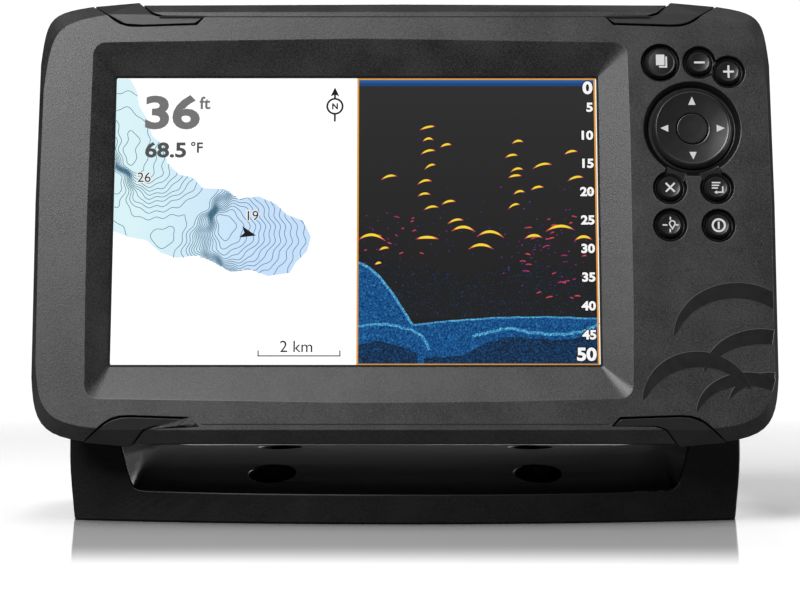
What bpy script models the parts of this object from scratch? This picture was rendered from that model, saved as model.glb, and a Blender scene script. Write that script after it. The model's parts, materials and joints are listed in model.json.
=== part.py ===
"""Fish finder with a seven-inch screen, on its gimbal bracket.

The design is written in millimetres and turned into metres as each mesh is made.
World axes: X to the right, Y away from the person who faces the screen, Z up.
The origin is the middle of the bracket's underside.

The display unit is drawn in its own face frame: x to the right, v straight back
from the flat face, w up along the face, with x = 0 on the middle of the unit and
w = 0 at the height of the screen's centre.  Two empties carry that frame: one on
the tilt axis, turned by the rest tilt, and one on the face.
"""
import math

import bpy
import bmesh

MM = 0.001
GAP = 0.3                        # clearance between neighbouring solids

# Tilt axis and rest attitude
REST_TILT = math.radians(9.5)    # the unit leans back by this much at rest
PIVOT_Y = -11.6
PIVOT_Z = 82.0
PIVOT_DEPTH = 38.0               # from the flat face back to the tilt axis
PIVOT_DROP = 8.0                 # from the screen's centre down to the tilt axis

# Front shell, as the half width, top and bottom of each outline
FOLD = (114.4, 66.7, -66.8, 1.3)  # where the flat face turns into the chamfer
RIM = (116.25, 70.3, -70.6)      # the widest outline
CHAMFER_DEPTH = 4.3
SKIRT_DEPTH = 11.0               # back edge of the front shell
SKIRT_WALL = 2.2
LEDGE_DEPTH = 7.4                # ledge that carries the gasket
CAVITY = (105.5, 59.5, -60.5)
WEB_BACK = 3.0                   # back of the wall that the keys pass through

# Screen
SCREEN_X = -15.44                # the screen sits left of the unit's middle
SCREEN_HALF = (76.2, 46.0)
OPENING_DEPTH = 4.5
LIP_BACK = 5.2
RECESS_X = (-98.55, 70.25)
RECESS_W = (-57.1, 56.35)
RECESS_BOW = (1.2, 0.6)          # of the level sides and of the upright sides

# Rear shell
PLATE_DEPTH = 12.6
TUB_HALF = 86.0
TUB_FRONT = 13.4
TUB_BACK = 56.5
TUB_WALL = 2.5
BACK_WALL = 3.5

# Keys: place on the face, radius of the crown and of the base
KEY_TRAVEL = 0.8
KEYS = {
    "pages_key": (80.7, 49.7, 4.5, 5.0),
    "zoom_out_key": (93.0, 49.8, 3.2, 3.9),
    "zoom_in_key": (102.1, 46.7, 3.2, 3.9),
    "exit_key": (82.9, 9.3, 3.2, 3.9),
    "menu_key": (97.6, 9.3, 3.2, 3.9),
    "waypoint_key": (82.7, -2.6, 3.2, 3.9),
    "power_key": (97.75, -2.8, 3.2, 3.9),
}
PAGES_POCKET = (6.2, 5.7)        # radius at the face and at the pocket's floor
KEY_POCKET = (5.35, 4.6)
POCKET_DEPTH = 1.5
NECK_WIDTH = 6.6                 # the channels from the pad's pocket to two keys
ZOOM_NECK_WIDTH = 4.6             # the channel between the two zoom keys' pockets
NECK_DEPTH = 1.2
KEY_TOP = -0.5                   # crown of a key, just proud of the face
KEY_CLEARANCE = 0.35
FLANGE_MARGIN = 0.6

PAD_X, PAD_W = 90.3, 28.3
PAD_RADIUS = 12.8
PAD_BORE = 5.15
PAD_NECK = 7.5
PAD_POCKET = (15.35, 13.7)
PAD_POCKET_DEPTH = 1.8
PAD_AXIS_DEPTH = 1.5             # the two rocking axes cross here
ENTER_RADIUS = 4.55

# Bracket
BASE_FRONT = -45.0               # front edge at the middle
BASE_REAR = 40.0
FRONT_BOW = 13.4                 # how far the front edge sweeps back at the arms
REAR_BOW = 8.0
BASE_HALF = 106.0
HEAD_RADIUS = 18.0
ARM_INNER = 90.5
ARM_OUTER = 104.0
ARM_BULGE = 3.2
SCREW_HOLE_X = 42.7
SCREW_HOLE_ROWS = (-28.0, 10.3)
SCREW_HOLE_RADIUS = 2.75
COUNTERBORE_RADIUS = 7.65
COUNTERBORE_FLOOR = 6.0

# Pivots
PIN_RADIUS = 5.7
BORE_RADIUS = PIN_RADIUS + GAP
HUB_RADIUS = 12.0
HUB_FACE = 88.6
PIN_END = 97.0
BUTTON_TRAVEL = 2.0
BUTTON_PROUD = 1.2


# ---------------------------------------------------------------- materials

def material(name, colour, roughness, metallic=0.0):
    """A plain Principled material in one colour."""
    made = bpy.data.materials.new(name)
    made.use_nodes = True
    shader = made.node_tree.nodes["Principled BSDF"]
    shader.inputs["Base Color"].default_value = (*colour, 1.0)
    shader.inputs["Roughness"].default_value = roughness
    shader.inputs["Metallic"].default_value = metallic
    return made


def make_palette():
    """The finishes that the pieces are made in."""
    return {
        "shell": material("charcoal_shell", (0.10, 0.10, 0.105), 0.55),
        "trim": material("grey_trim", (0.22, 0.22, 0.23), 0.5),
        "bracket": material("black_bracket", (0.015, 0.015, 0.016), 0.45),
        "key": material("gloss_key", (0.02, 0.02, 0.022), 0.2),
        "rubber": material("black_rubber", (0.02, 0.02, 0.02), 0.8),
        "glass": material("screen_glass", (0.03, 0.04, 0.05), 0.05),
        "panel": material("screen_panel", (0.05, 0.08, 0.12), 0.3),
        "steel": material("sheet_steel", (0.55, 0.56, 0.57), 0.35, 1.0),
        "board": material("circuit_board", (0.01, 0.12, 0.05), 0.5),
        "film": material("amber_film", (0.45, 0.2, 0.03), 0.4),
        "ceramic": material("antenna_ceramic", (0.62, 0.58, 0.5), 0.6),
    }


# ---------------------------------------------------------------- mesh helpers

def skin(loops, closed=False):
    """Join rings of equal length into a solid, capped unless the rings close."""
    count = len(loops[0])
    verts = [point for loop in loops for point in loop]
    faces = []
    spans = len(loops) if closed else len(loops) - 1
    for ring in range(spans):
        near = ring * count
        far = (ring + 1) % len(loops) * count
        for i in range(count):
            j = (i + 1) % count
            faces.append((near + i, near + j, far + j, far + i))
    if not closed:
        faces.append(tuple(range(count)))
        faces.append(tuple(range(len(verts) - count, len(verts))))
    return verts, faces


def solid(name, shape, finish, parent=None, at=(0.0, 0.0, 0.0), smooth=False):
    """Make an object of a (verts, faces) pair in millimetres."""
    verts, faces = shape
    mesh = bpy.data.meshes.new(name)
    mesh.from_pydata([[c * MM for c in point] for point in verts], [], faces)
    work = bmesh.new()
    work.from_mesh(mesh)
    bmesh.ops.recalc_face_normals(work, faces=work.faces)
    work.to_mesh(mesh)
    work.free()
    if finish is not None:
        mesh.materials.append(finish)
    if smooth:
        mesh.shade_smooth()
        mesh.set_sharp_from_angle(angle=math.radians(35))
    made = bpy.data.objects.new(name, mesh)
    made.parent = parent
    made.location = [c * MM for c in at]
    bpy.context.scene.collection.objects.link(made)
    return made


def cut(target, shape, at=(0.0, 0.0, 0.0), operation="DIFFERENCE"):
    """Cut a shape away from an object, or join it on, with a Boolean modifier."""
    number = len(target.modifiers) + 1
    tool = solid(f"tool_{target.name}_{number}", shape, None, target.parent, at)
    tool.hide_render = True
    tool.display_type = "WIRE"
    modifier = target.modifiers.new(f"shape_{number}", "BOOLEAN")
    modifier.operation = operation
    modifier.solver = "EXACT"
    modifier.object = tool


def join(target, shape, at=(0.0, 0.0, 0.0)):
    """Union a shape onto an object."""
    cut(target, shape, at, "UNION")


def turned(profile, sides=24, axis="v", closed=False):
    """A solid of revolution from (radius, position along the axis) points."""
    loops = []
    for radius, along in profile:
        ring = []
        for step in range(sides):
            angle = math.tau * step / sides
            a = radius * math.cos(angle)
            b = radius * math.sin(angle)
            ring.append({"x": (along, a, b), "v": (a, along, b), "z": (a, b, along)}[axis])
        loops.append(ring)
    return skin(loops, closed)


def rod(radius, start, end, sides=20, axis="v"):
    """A plain cylinder."""
    return turned([(radius, start), (radius, end)], sides, axis)


def block(x, v, w):
    """A box from three (low, high) pairs."""
    low = [(x[0], v[0], w[0]), (x[1], v[0], w[0]), (x[1], v[0], w[1]), (x[0], v[0], w[1])]
    high = [(a, v[1], c) for a, b, c in low]
    return skin([low, high])


def prism(outline, near, far):
    """An outline of (x, w) points run from one depth to another."""
    return skin([[(x, depth, w) for x, w in outline] for depth in (near, far)])


def extruded(outline, start, end):
    """An outline of (v, w) points run along x."""
    return skin([[(x, v, w) for v, w in outline] for x in (start, end)])


def bezier(a, b, c, d, steps):
    """Points along a cubic curve, both ends included."""
    points = []
    for step in range(steps + 1):
        t = step / steps
        s = 1.0 - t
        weights = (s ** 3, 3 * s * s * t, 3 * s * t * t, t ** 3)
        points.append(tuple(sum(k * p[i] for k, p in zip(weights, (a, b, c, d)))
                            for i in range(2)))
    return points


SIDE_STEPS = 4                   # parts that each side of a rounded rectangle is split into


def rounded(x, w, radius, steps=4, bow=(0.0, 0.0)):
    """A rectangle with round corners; its level and upright sides may bow outwards."""
    arcs = []
    for side_x, side_w, start in ((1, 1, 0), (-1, 1, 90), (-1, -1, 180), (1, -1, 270)):
        centre_x = x[side_x > 0] - side_x * radius
        centre_w = w[side_w > 0] - side_w * radius
        angles = [math.radians(start + 90 * step / steps) for step in range(steps + 1)]
        arcs.append([(centre_x + radius * math.cos(angle), centre_w + radius * math.sin(angle))
                     for angle in angles])
    points = []
    for number, corner in enumerate(arcs):
        points += corner
        ax, aw = corner[-1]
        bx, bw = arcs[(number + 1) % 4][0]
        length = math.hypot(bx - ax, bw - aw)
        for step in range(1, SIDE_STEPS):
            t = step / SIDE_STEPS
            out = bow[number % 2] * 4.0 * t * (1.0 - t) / length
            points.append((ax + (bx - ax) * t + (bw - aw) * out,
                           aw + (bw - aw) * t - (bx - ax) * out))
    return points


def shell_outline(half, top, bottom, corner=1.0, steps=12):
    """The shell's outline: crowned edges, and upper corners that can be made wider."""
    upper = bezier((half - 19.5 * corner, top - 0.4), (half - 2.4 * corner, top - 2.9 * corner),
                   (half - 2.1 * corner, top - 3.6 * corner), (half - 0.4, top - 20.0 * corner),
                   steps)
    lower = bezier((half - 0.4, bottom + 20.6), (half - 1.5, bottom + 4.6),
                   (half - 4.0, bottom + 1.0), (half - 26.5, bottom), steps)
    right = upper + [(half, 5.0)] + lower
    left = [(-x, w) for x, w in reversed(right)]
    return right + [(0.0, bottom)] + left + [(0.0, top)]


def inset(outline_size, amount):
    """A shell outline's half width, top and bottom, moved in by an amount."""
    half, top, bottom = outline_size
    return half - amount, top - amount, bottom + amount


def shell_loop(size, depth):
    """A shell outline as a ring of points at one depth."""
    return [(x, depth, w) for x, w in shell_outline(*size)]


def grown(outline, amount):
    """An outline moved outwards by an amount along the mean of its sides' normals."""
    points = []
    count = len(outline)
    area = sum(outline[i - 1][0] * outline[i][1] - outline[i][0] * outline[i - 1][1]
               for i in range(count))
    turn = 1.0 if area > 0 else -1.0
    for i in range(count):
        (ax, aw), (bx, bw), (cx, cw) = outline[i - 1], outline[i], outline[(i + 1) % count]
        first = math.hypot(bx - ax, bw - aw)
        second = math.hypot(cx - bx, cw - bw)
        nx = turn * ((bw - aw) / first + (cw - bw) / second)
        nw = -turn * ((bx - ax) / first + (cx - bx) / second)
        scale = amount / max(0.5, (nx * nx + nw * nw) / 2)
        points.append((bx + nx * scale, bw + nw * scale))
    return points


# ---------------------------------------------------------------- frames

def make_frames():
    """The empty on the tilt axis, and the face frame that rides on it."""
    pivot = bpy.data.objects.new("tilt_axis", None)
    pivot.location = (0.0, PIVOT_Y * MM, PIVOT_Z * MM)
    pivot.rotation_euler = (-REST_TILT, 0.0, 0.0)
    face = bpy.data.objects.new("face_frame", None)
    face.parent = pivot
    face.location = (0.0, -PIVOT_DEPTH * MM, PIVOT_DROP * MM)
    for frame in (pivot, face):
        bpy.context.scene.collection.objects.link(frame)
    return face


# ---------------------------------------------------------------- clips

CLIP_DEPTH = 5.2
CLIP_FACE = [(-63.7, 64.8), (-66.1, 62.4), (-84.6, 61.8), (-87.8, 62.0), (-90.2, 62.7),
             (-92.2, 63.9), (-94.7, 65.9), (-80.2, 65.9), (-76.9, 64.8)]
CLIP_RIM = [(-99.3, 69.5), (-85.3, 70.8)]
LOWER_CLIP_SHIFT = -0.7          # the lower clips sit this much further from the centre


def clip_shape(side, level, grow=0.0, lead=0.0):
    """One corner clip: a thin finger on the face and a cap over the chamfer."""
    outer = CLIP_FACE[:-3] + CLIP_RIM + CLIP_FACE[-1:]
    loops = []
    for outline, depth in ((CLIP_FACE, -0.1 - lead), (outer, CHAMFER_DEPTH),
                           (outer, CLIP_DEPTH + grow)):
        if grow:
            outline = grown(outline, grow)
        drop = LOWER_CLIP_SHIFT if level < 0 else 0.0
        loops.append([(-side * x, depth, level * w + drop) for x, w in outline])
    return skin(loops)


def make_clips(face, finish):
    for level, level_name in ((1, "top"), (-1, "bottom")):
        for side, side_name in ((-1, "left"), (1, "right")):
            solid(f"clip_{level_name}_{side_name}", clip_shape(side, level), finish, face)


# ---------------------------------------------------------------- front shell

SCREW_PLACES = [(110.4, 50.0), (110.4, -50.0), (-110.4, 50.0), (-110.4, -50.0),
                (0.0, 64.2), (0.0, -65.0)]
SCREW_CLEARANCE = 1.6


def pocket(radii, depth, sides):
    """A shallow pocket with a sloping wall, started ahead of the face."""
    rim, floor = radii
    lead = 0.5
    slope = (rim - floor) / depth
    return turned([(rim + slope * lead, -lead), (floor, depth)], sides)


def neck(start, end, width):
    """A straight channel between the middles of two pockets."""
    length = math.dist(start, end)
    along = ((end[0] - start[0]) / length, (end[1] - start[1]) / length)
    outline = []
    for (x, w), sides in ((start, (-0.5, 0.5)), (end, (0.5, -0.5))):
        for side in sides:
            outline.append((x - along[1] * side * width, w + along[0] * side * width))
    return prism(outline, -0.5, NECK_DEPTH)


def make_front_bezel(face, finish):
    """The front shell: chamfered face, sloped screen recess and key pockets."""
    back = inset(RIM, 0.4)
    bezel = solid("front_bezel", skin([shell_loop(FOLD, 0.0), shell_loop(RIM, CHAMFER_DEPTH),
                                       shell_loop(back, SKIRT_DEPTH)]), finish, face)
    cut_screen_recess(bezel)
    cut_rear_cavity(bezel)
    cut_key_pockets(bezel)
    for side in (-1, 1):
        for level in (-1, 1):
            cut(bezel, clip_shape(side, level, GAP, 0.5))
    for x, w in SCREW_PLACES:
        cut(bezel, rod(SCREW_CLEARANCE, LIP_BACK - 0.8, SKIRT_DEPTH, 10), (x, 0.0, w))
    return bezel


def cut_screen_recess(bezel):
    """Four slopes lead from the face down to the screen opening."""
    half_x, half_w = SCREEN_HALF
    opening_x = (SCREEN_X - half_x, SCREEN_X + half_x)
    opening_w = (-half_w, half_w)
    rim = rounded(RECESS_X, RECESS_W, 4.0, bow=RECESS_BOW)
    opening = rounded(opening_x, opening_w, 0.5)
    lead = 0.2                   # the cutter starts this far ahead of the face
    grow = lead / OPENING_DEPTH
    ahead = [(a + (a - c) * grow, b + (b - d) * grow) for (a, b), (c, d) in zip(rim, opening)]
    loops = [[(x, -lead, w) for x, w in ahead], [(x, OPENING_DEPTH, w) for x, w in opening],
             [(x, LIP_BACK + 1.0, w) for x, w in opening]]
    cut(bezel, skin(loops))


def cut_rear_cavity(bezel):
    """Hollow the shell from behind, with a ledge for the gasket."""
    half, top, bottom = CAVITY
    cut(bezel, prism(rounded((-half, half), (bottom, top), 6.0), LIP_BACK, SKIRT_DEPTH + 1.0))
    ledge = inset(RIM, SKIRT_WALL)
    cut(bezel, skin([shell_loop(ledge, LEDGE_DEPTH), shell_loop(ledge, SKIRT_DEPTH + 1.0)]))
    keypad = rounded((74.0, 107.5), (-9.5, 56.5), 3.0)
    cut(bezel, prism(keypad, WEB_BACK, LIP_BACK + 1.0))


def cut_key_pockets(bezel):
    """A round pocket and a through hole for every key and for the cursor pad."""
    for name in ("exit_key", "menu_key"):
        cut(bezel, neck(KEYS[name][:2], (PAD_X, PAD_W), NECK_WIDTH))
    cut(bezel, neck(KEYS["zoom_out_key"][:2], KEYS["zoom_in_key"][:2], ZOOM_NECK_WIDTH))
    cut(bezel, pocket(PAD_POCKET, PAD_POCKET_DEPTH, 40), (PAD_X, 0.0, PAD_W))
    cut(bezel, rod(PAD_NECK + 1.5, 0.0, LIP_BACK, 28), (PAD_X, 0.0, PAD_W))
    for name, (x, w, crown, base) in KEYS.items():
        radii = PAGES_POCKET if name == "pages_key" else KEY_POCKET
        cut(bezel, pocket(radii, POCKET_DEPTH, 24), (x, 0.0, w))
        cut(bezel, rod(base + KEY_CLEARANCE, 0.0, LIP_BACK, 20), (x, 0.0, w))


# ---------------------------------------------------------------- keys

def make_keys(face, finish):
    """Each key has its origin on its own line of travel."""
    for name, (x, w, crown, base) in KEYS.items():
        flange = base + FLANGE_MARGIN
        profile = [(crown - 0.6, KEY_TOP), (crown, KEY_TOP + 0.3), (base, 1.0),
                   (base, WEB_BACK + GAP), (flange, WEB_BACK + GAP),
                   (flange, WEB_BACK + GAP + 1.0)]
        solid(name, turned(profile, 20), finish, face, (x, 0.0, w), smooth=True)
    profile = [(ENTER_RADIUS - 0.6, -0.3), (ENTER_RADIUS, 0.0), (ENTER_RADIUS, 4.3)]
    solid("enter_key", turned(profile, 24), finish, face, (PAD_X, 0.0, PAD_W), smooth=True)


def make_cursor_pad(face, finish, inner_finish):
    """The rocking ring, and the gimbal ring behind it that gives it two axes."""
    centre = (PAD_X, PAD_AXIS_DEPTH, PAD_W)
    profile = [(PAD_BORE, -0.1), (PAD_BORE + 0.5, -0.35), (PAD_RADIUS - 1.35, -0.6),
               (PAD_RADIUS - 0.3, 0.1), (PAD_RADIUS, 0.9), (PAD_NECK, 0.9),
               (PAD_NECK, 3.4), (PAD_BORE, 3.4)]
    shifted = [(radius, along - PAD_AXIS_DEPTH) for radius, along in profile]
    solid("cursor_pad", turned(shifted, 32, closed=True), finish, face, centre, smooth=True)
    ring = [(PAD_BORE + 0.3, 3.75), (PAD_NECK + 0.9, 3.75), (PAD_NECK + 0.9, 4.75),
            (PAD_BORE + 0.3, 4.75)]
    shifted = [(radius, along - PAD_AXIS_DEPTH) for radius, along in ring]
    solid("cursor_gimbal", turned(shifted, 24, closed=True), inner_finish, face, centre)


# ---------------------------------------------------------------- rear shell

def tub_loops(shrink, front, back, flat):
    """Rings of the tub from its front to its back, moved in by a wall thickness."""
    stations = [(TUB_HALF, 57.0, -58.5, front), (TUB_HALF, 55.5, -56.5, flat),
                (TUB_HALF, 51.5, -52.0, 42.0), (TUB_HALF, 48.0, -48.5, 49.0),
                (TUB_HALF - 1.5, 45.5, -46.0, back - 2.0), (TUB_HALF - 4.5, 42.5, -43.0, back)]
    loops = []
    for half, top, bottom, depth in stations:
        outline = rounded((-half + shrink, half - shrink), (bottom + shrink, top - shrink), 9.0)
        loops.append([(x, depth, w) for x, w in outline])
    return loops


def make_rear_housing(face, finish):
    """The rear shell: a flange inside the skirt, a back plate and a deep tub."""
    flange = inset(RIM, SKIRT_WALL + GAP)
    flange_depth = LEDGE_DEPTH + 1.4
    plate = [shell_loop(flange, flange_depth), shell_loop(flange, SKIRT_DEPTH + 0.2),
             shell_loop(inset(flange, 1.0), PLATE_DEPTH)]
    housing = solid("rear_housing", skin(plate), finish, face)
    join(housing, skin(tub_loops(0.0, SKIRT_DEPTH, TUB_BACK, TUB_FRONT + 4.0)))
    half, top, bottom = CAVITY
    cut(housing, prism(rounded((-half, half), (bottom, top), 6.0),
                       flange_depth - 1.0, SKIRT_DEPTH - 0.6))
    cut(housing, skin(tub_loops(TUB_WALL, SKIRT_DEPTH - 1.0, TUB_BACK - BACK_WALL,
                                TUB_FRONT + 4.0)))
    cut_housing_screw_seats(housing)
    cut_back_wall(housing)
    return housing


def cut_housing_screw_seats(housing):
    for x, w in SCREW_PLACES:
        cut(housing, rod(SCREW_CLEARANCE, LEDGE_DEPTH, SKIRT_DEPTH + 2.0, 10), (x, 0.0, w))
        cut(housing, rod(3.0, PLATE_DEPTH - 0.5, PLATE_DEPTH + 4.0, 16), (x, 0.0, w))


SOCKETS = {"power_socket": (-44.0, -20.0, 7.0, 4), "sonar_socket": (-18.0, -20.0, 8.5, 7)}
SOCKET_WALL = 1.4
SOCKET_BACK = 62.0
PIN_TOP = TUB_BACK - 1.0           # the pins end here, well inside the cup
DOOR_X = (26.0, 62.0)
DOOR_W = (-30.0, -12.0)
DOOR_THICKNESS = 1.6
DOOR_SEAT = TUB_BACK - 1.9
HINGE_RADIUS = 1.0
SLOT_X = (31.0, 57.0)
SLOT_W = (-22.6, -19.4)
VENT_X, VENT_W = 62.0, 18.0


def cut_back_wall(housing):
    """Holes for the sockets and the vent, and the seat and slot of the card door."""
    for x, w, radius, pins in SOCKETS.values():
        cut(housing, rod(radius + GAP, TUB_BACK - 8.0, TUB_BACK + 2.0, 24), (x, 0.0, w))
    cut(housing, rod(3.2, TUB_BACK - 8.0, TUB_BACK + 2.0, 16), (VENT_X, 0.0, VENT_W))
    margin = 0.4
    cut(housing, block((DOOR_X[0] - margin, DOOR_X[1] + margin), (DOOR_SEAT, TUB_BACK + 2.0),
                       (DOOR_W[0] - margin, DOOR_W[1] + margin)))
    cut(housing, block(SLOT_X, (TUB_BACK - 8.0, TUB_BACK), SLOT_W))


def make_sockets(face, finish):
    """Round panel sockets with a flange inside the wall and pins in the cup."""
    inner_wall = TUB_BACK - BACK_WALL
    for name, (x, w, radius, pins) in SOCKETS.items():
        bore = radius - SOCKET_WALL
        profile = [(radius + 2.0, inner_wall - GAP - 2.0), (radius + 2.0, inner_wall - GAP),
                   (radius, inner_wall - GAP), (radius, SOCKET_BACK), (bore, SOCKET_BACK),
                   (bore, inner_wall)]
        socket = solid(name, turned(profile, 24), finish, face, (x, 0.0, w), smooth=True)
        for pin in range(pins):
            angle = math.tau * (pin + 0.5) / pins
            reach = bore * 0.58
            join(socket, rod(0.7, inner_wall - 1.0, PIN_TOP, 6),
                 (x + reach * math.cos(angle), 0.0, w + reach * math.sin(angle)))


def make_card_door(face, finish):
    """The door over the card slot, with its origin on its hinge line."""
    axis_w = DOOR_W[0] + HINGE_RADIUS
    axis_v = TUB_BACK + 0.1
    height = DOOR_W[1] - axis_w
    front = DOOR_SEAT + GAP - axis_v
    knuckle = [(HINGE_RADIUS * math.cos(a), HINGE_RADIUS * math.sin(a))
               for a in [math.radians(-140 + 30 * step) for step in range(8)]]
    outline = knuckle + [(front + DOOR_THICKNESS, height * 0.2), (front + DOOR_THICKNESS, height),
                         (front, height), (front, 0.0)]
    solid("card_door", extruded(outline, *DOOR_X), finish, face, (0.0, axis_v, axis_w))


def make_card_reader(face, finish):
    """A sheet-metal reader with a blind slot, standing on the main board."""
    inner_wall = TUB_BACK - BACK_WALL
    low, high = SLOT_W
    reader = solid("card_reader", block((SLOT_X[0] - 2.0, SLOT_X[1] + 2.0),
                                        (BOARD_BACK + GAP, inner_wall - GAP),
                                        (low - 1.4, high + 1.4)), finish, face)
    cut(reader, block((SLOT_X[0] + 0.7, SLOT_X[1] - 0.7), (inner_wall - 26.0, TUB_BACK),
                      (low + 0.4, high - 0.4)))


def make_vent(face, finish):
    """The breather plug that keeps water out and lets the case breathe."""
    profile = [(2.9, TUB_BACK - BACK_WALL - 0.5), (2.9, TUB_BACK + GAP), (4.8, TUB_BACK + GAP),
               (4.8, TUB_BACK + 1.0), (4.2, TUB_BACK + 1.5)]
    solid("vent_plug", turned(profile, 16), finish, face, (VENT_X, 0.0, VENT_W), smooth=True)


def make_housing_screws(face, finish):
    """Six screws hold the rear shell to the front shell."""
    for number, (x, w) in enumerate(SCREW_PLACES, 1):
        seat = PLATE_DEPTH - 0.5 + GAP
        profile = [(1.3, LIP_BACK), (1.3, seat), (2.6, seat), (2.6, seat + 1.1),
                   (1.8, seat + 1.6)]
        solid(f"housing_screw_{number}", turned(profile, 12), finish, face, (x, 0.0, w),
              smooth=True)


def make_gasket(face, finish):
    """The seal ring between the two shells, inside the screws."""
    half, top, bottom = CAVITY
    depth = (LEDGE_DEPTH + GAP, LEDGE_DEPTH + GAP + 0.8)
    gasket = solid("housing_gasket", prism(rounded((-half - 2.6, half + 2.6),
                                                   (bottom - 2.6, top + 2.6), 8.0), *depth),
                   finish, face)
    cut(gasket, prism(rounded((-half - 0.6, half + 0.6), (bottom - 0.6, top + 0.6), 6.5),
                      depth[0] - 1.0, depth[1] + 1.0))


# ---------------------------------------------------------------- inside the case

LENS = (5.5, 6.7)
PANEL = (7.0, 8.4)
BACKLIGHT = (8.7, 10.1)
TRAY = (10.4, 11.2)
BOARD_FRONT = 14.0
BOARD_BACK = 15.6
MAT = (5.4, 6.4)
KEY_BOARD = (6.7, 8.3)


def make_display_stack(face, paints):
    """Lens, panel, backlight and steel tray, one behind the other."""
    half_x, half_w = SCREEN_HALF
    layers = (("display_lens", LENS, 5.3, 4.6, "glass"), ("lcd_panel", PANEL, 3.6, 3.4, "panel"),
              ("backlight_panel", BACKLIGHT, 3.0, 3.0, "trim"))
    for name, depth, margin_x, margin_w, paint in layers:
        x = (SCREEN_X - half_x - margin_x, SCREEN_X + half_x + margin_x)
        w = (-half_w - margin_w, half_w + margin_w)
        solid(name, prism(rounded(x, w, 1.5, 2), *depth), paints[paint], face)
    tray = rounded((-TUB_HALF + 4.0, 62.0), (-48.0, 48.0), 3.0, 2)
    solid("lcd_frame", prism(tray, *TRAY), paints["steel"], face)


def make_ribbon(face, finish):
    """The flat cable that folds from the panel's lower edge back to the board."""
    lowest = -SCREEN_HALF[1] - 6.4
    thick = 0.6
    panel_middle = sum(PANEL) / 2
    outline = [(panel_middle, lowest + 2.4), (panel_middle, lowest), (BOARD_FRONT - GAP, lowest),
               (BOARD_FRONT - GAP, lowest + 9.0), (BOARD_FRONT - GAP - thick, lowest + 9.0),
               (BOARD_FRONT - GAP - thick, lowest + thick), (panel_middle + thick, lowest + thick),
               (panel_middle + thick, lowest + 2.4)]
    solid("lcd_ribbon", extruded(outline, -20.0, 10.0), finish, face)


def make_boards(face, paints):
    """Main board, keypad board and mat, buzzer and satellite antenna."""
    board = rounded((-80.0, 80.0), (-50.0, 50.0), 3.0, 2)
    solid("main_board", prism(board, BOARD_FRONT, BOARD_BACK), paints["board"], face)
    mat = rounded((73.0, 105.0), (-10.5, 57.5), 3.0, 2)
    solid("key_mat", prism(mat, *MAT), paints["rubber"], face)
    solid("keypad_board", prism(mat, *KEY_BOARD), paints["board"], face)
    back = BOARD_BACK + GAP
    solid("buzzer", turned([(6.0, back), (6.0, back + 5.0), (1.5, back + 5.0),
                            (1.5, back + 4.0)], 20), paints["key"], face, (10.0, 0.0, 20.0))
    antenna = block((-62.0, -37.0), (back, back + 6.0), (18.0, 43.0))
    solid("gps_antenna", antenna, paints["ceramic"], face)


# ---------------------------------------------------------------- pivots

def make_pivots(face, paints):
    """Hubs on the unit, washers and release buttons in the arms, left and right."""
    for side, side_name in ((-1, "left"), (1, "right")):
        hub = [(HUB_RADIUS, side * (TUB_HALF + GAP)), (HUB_RADIUS, side * HUB_FACE),
               (PIN_RADIUS, side * HUB_FACE), (PIN_RADIUS, side * PIN_END)]
        solid(f"pivot_hub_{side_name}", turned(hub, 28, "x"), paints["bracket"], face,
              (0.0, PIVOT_DEPTH, -PIVOT_DROP), smooth=True)
        washer = [(BORE_RADIUS, side * (HUB_FACE + GAP)), (HUB_RADIUS, side * (HUB_FACE + GAP)),
                  (HUB_RADIUS, side * (ARM_INNER - GAP)), (BORE_RADIUS, side * (ARM_INNER - GAP))]
        solid(f"friction_washer_{side_name}", turned(washer, 28, "x", closed=True),
              paints["rubber"], None, (0.0, PIVOT_Y, PIVOT_Z))
        inner = PIN_END + GAP + BUTTON_TRAVEL + GAP
        outer = ARM_OUTER + BUTTON_PROUD
        button = [(PIN_RADIUS, side * inner), (PIN_RADIUS, side * (outer - 0.6)),
                  (PIN_RADIUS - 0.8, side * outer)]
        solid(f"release_button_{side_name}", turned(button, 28, "x"), paints["key"], None,
              (0.0, PIVOT_Y, PIVOT_Z), smooth=True)


# ---------------------------------------------------------------- bracket

# Half of the U seen from the front, as outer, lip and crest points (x, z).
# The lip is the front and rear edge of the inner surface; the crest is the
# same surface halfway back, where the floor swells upwards.
U_CURVE = [
    ((0.0, 0.0), (0.0, 9.3), (0.0, 19.8)),
    ((32.0, 0.0), (30.0, 9.3), (30.0, 19.8)),
    ((60.0, 0.0), (55.0, 9.4), (55.0, 19.8)),
    ((80.0, 0.0), (72.0, 9.6), (70.0, 19.8)),
    ((93.0, 0.0), (80.0, 9.7), (77.0, 19.9)),
    ((101.0, 0.0), (84.2, 9.9), (81.0, 20.3)),
    ((104.9, 0.0), (86.0, 10.7), (83.6, 21.6)),
    ((105.7, 0.8), (87.0, 12.2), (85.6, 24.0)),
    ((106.2, 6.0), (87.9, 15.2), (87.2, 27.8)),
    ((107.0, 15.0), (89.2, 19.8), (88.6, 32.8)),
    ((107.1, 25.0), (90.2, 26.0), (89.7, 39.0)),
    ((106.2, 42.0), (ARM_INNER, 42.0), (ARM_INNER, 50.0)),
    ((105.0, 62.0), (ARM_INNER, 62.0), (ARM_INNER, 66.0)),
    ((ARM_OUTER, PIVOT_Z), (ARM_INNER, PIVOT_Z), (ARM_INNER, PIVOT_Z)),
]
HEAD_ANGLES = (14, 28, 42, 55, 67, 77, 85)
DEPTH_STEPS = (0.0, 0.045, 0.1, 0.18, 0.28, 0.42, 0.58, 0.75, 0.86, 0.94, 1.0)
CREST_AT = 0.75                  # fraction of the depth where the floor is highest
ARM_FOOT = 22.0                  # height where the arms start to narrow


STATIONS_PER_SPAN = 2


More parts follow.
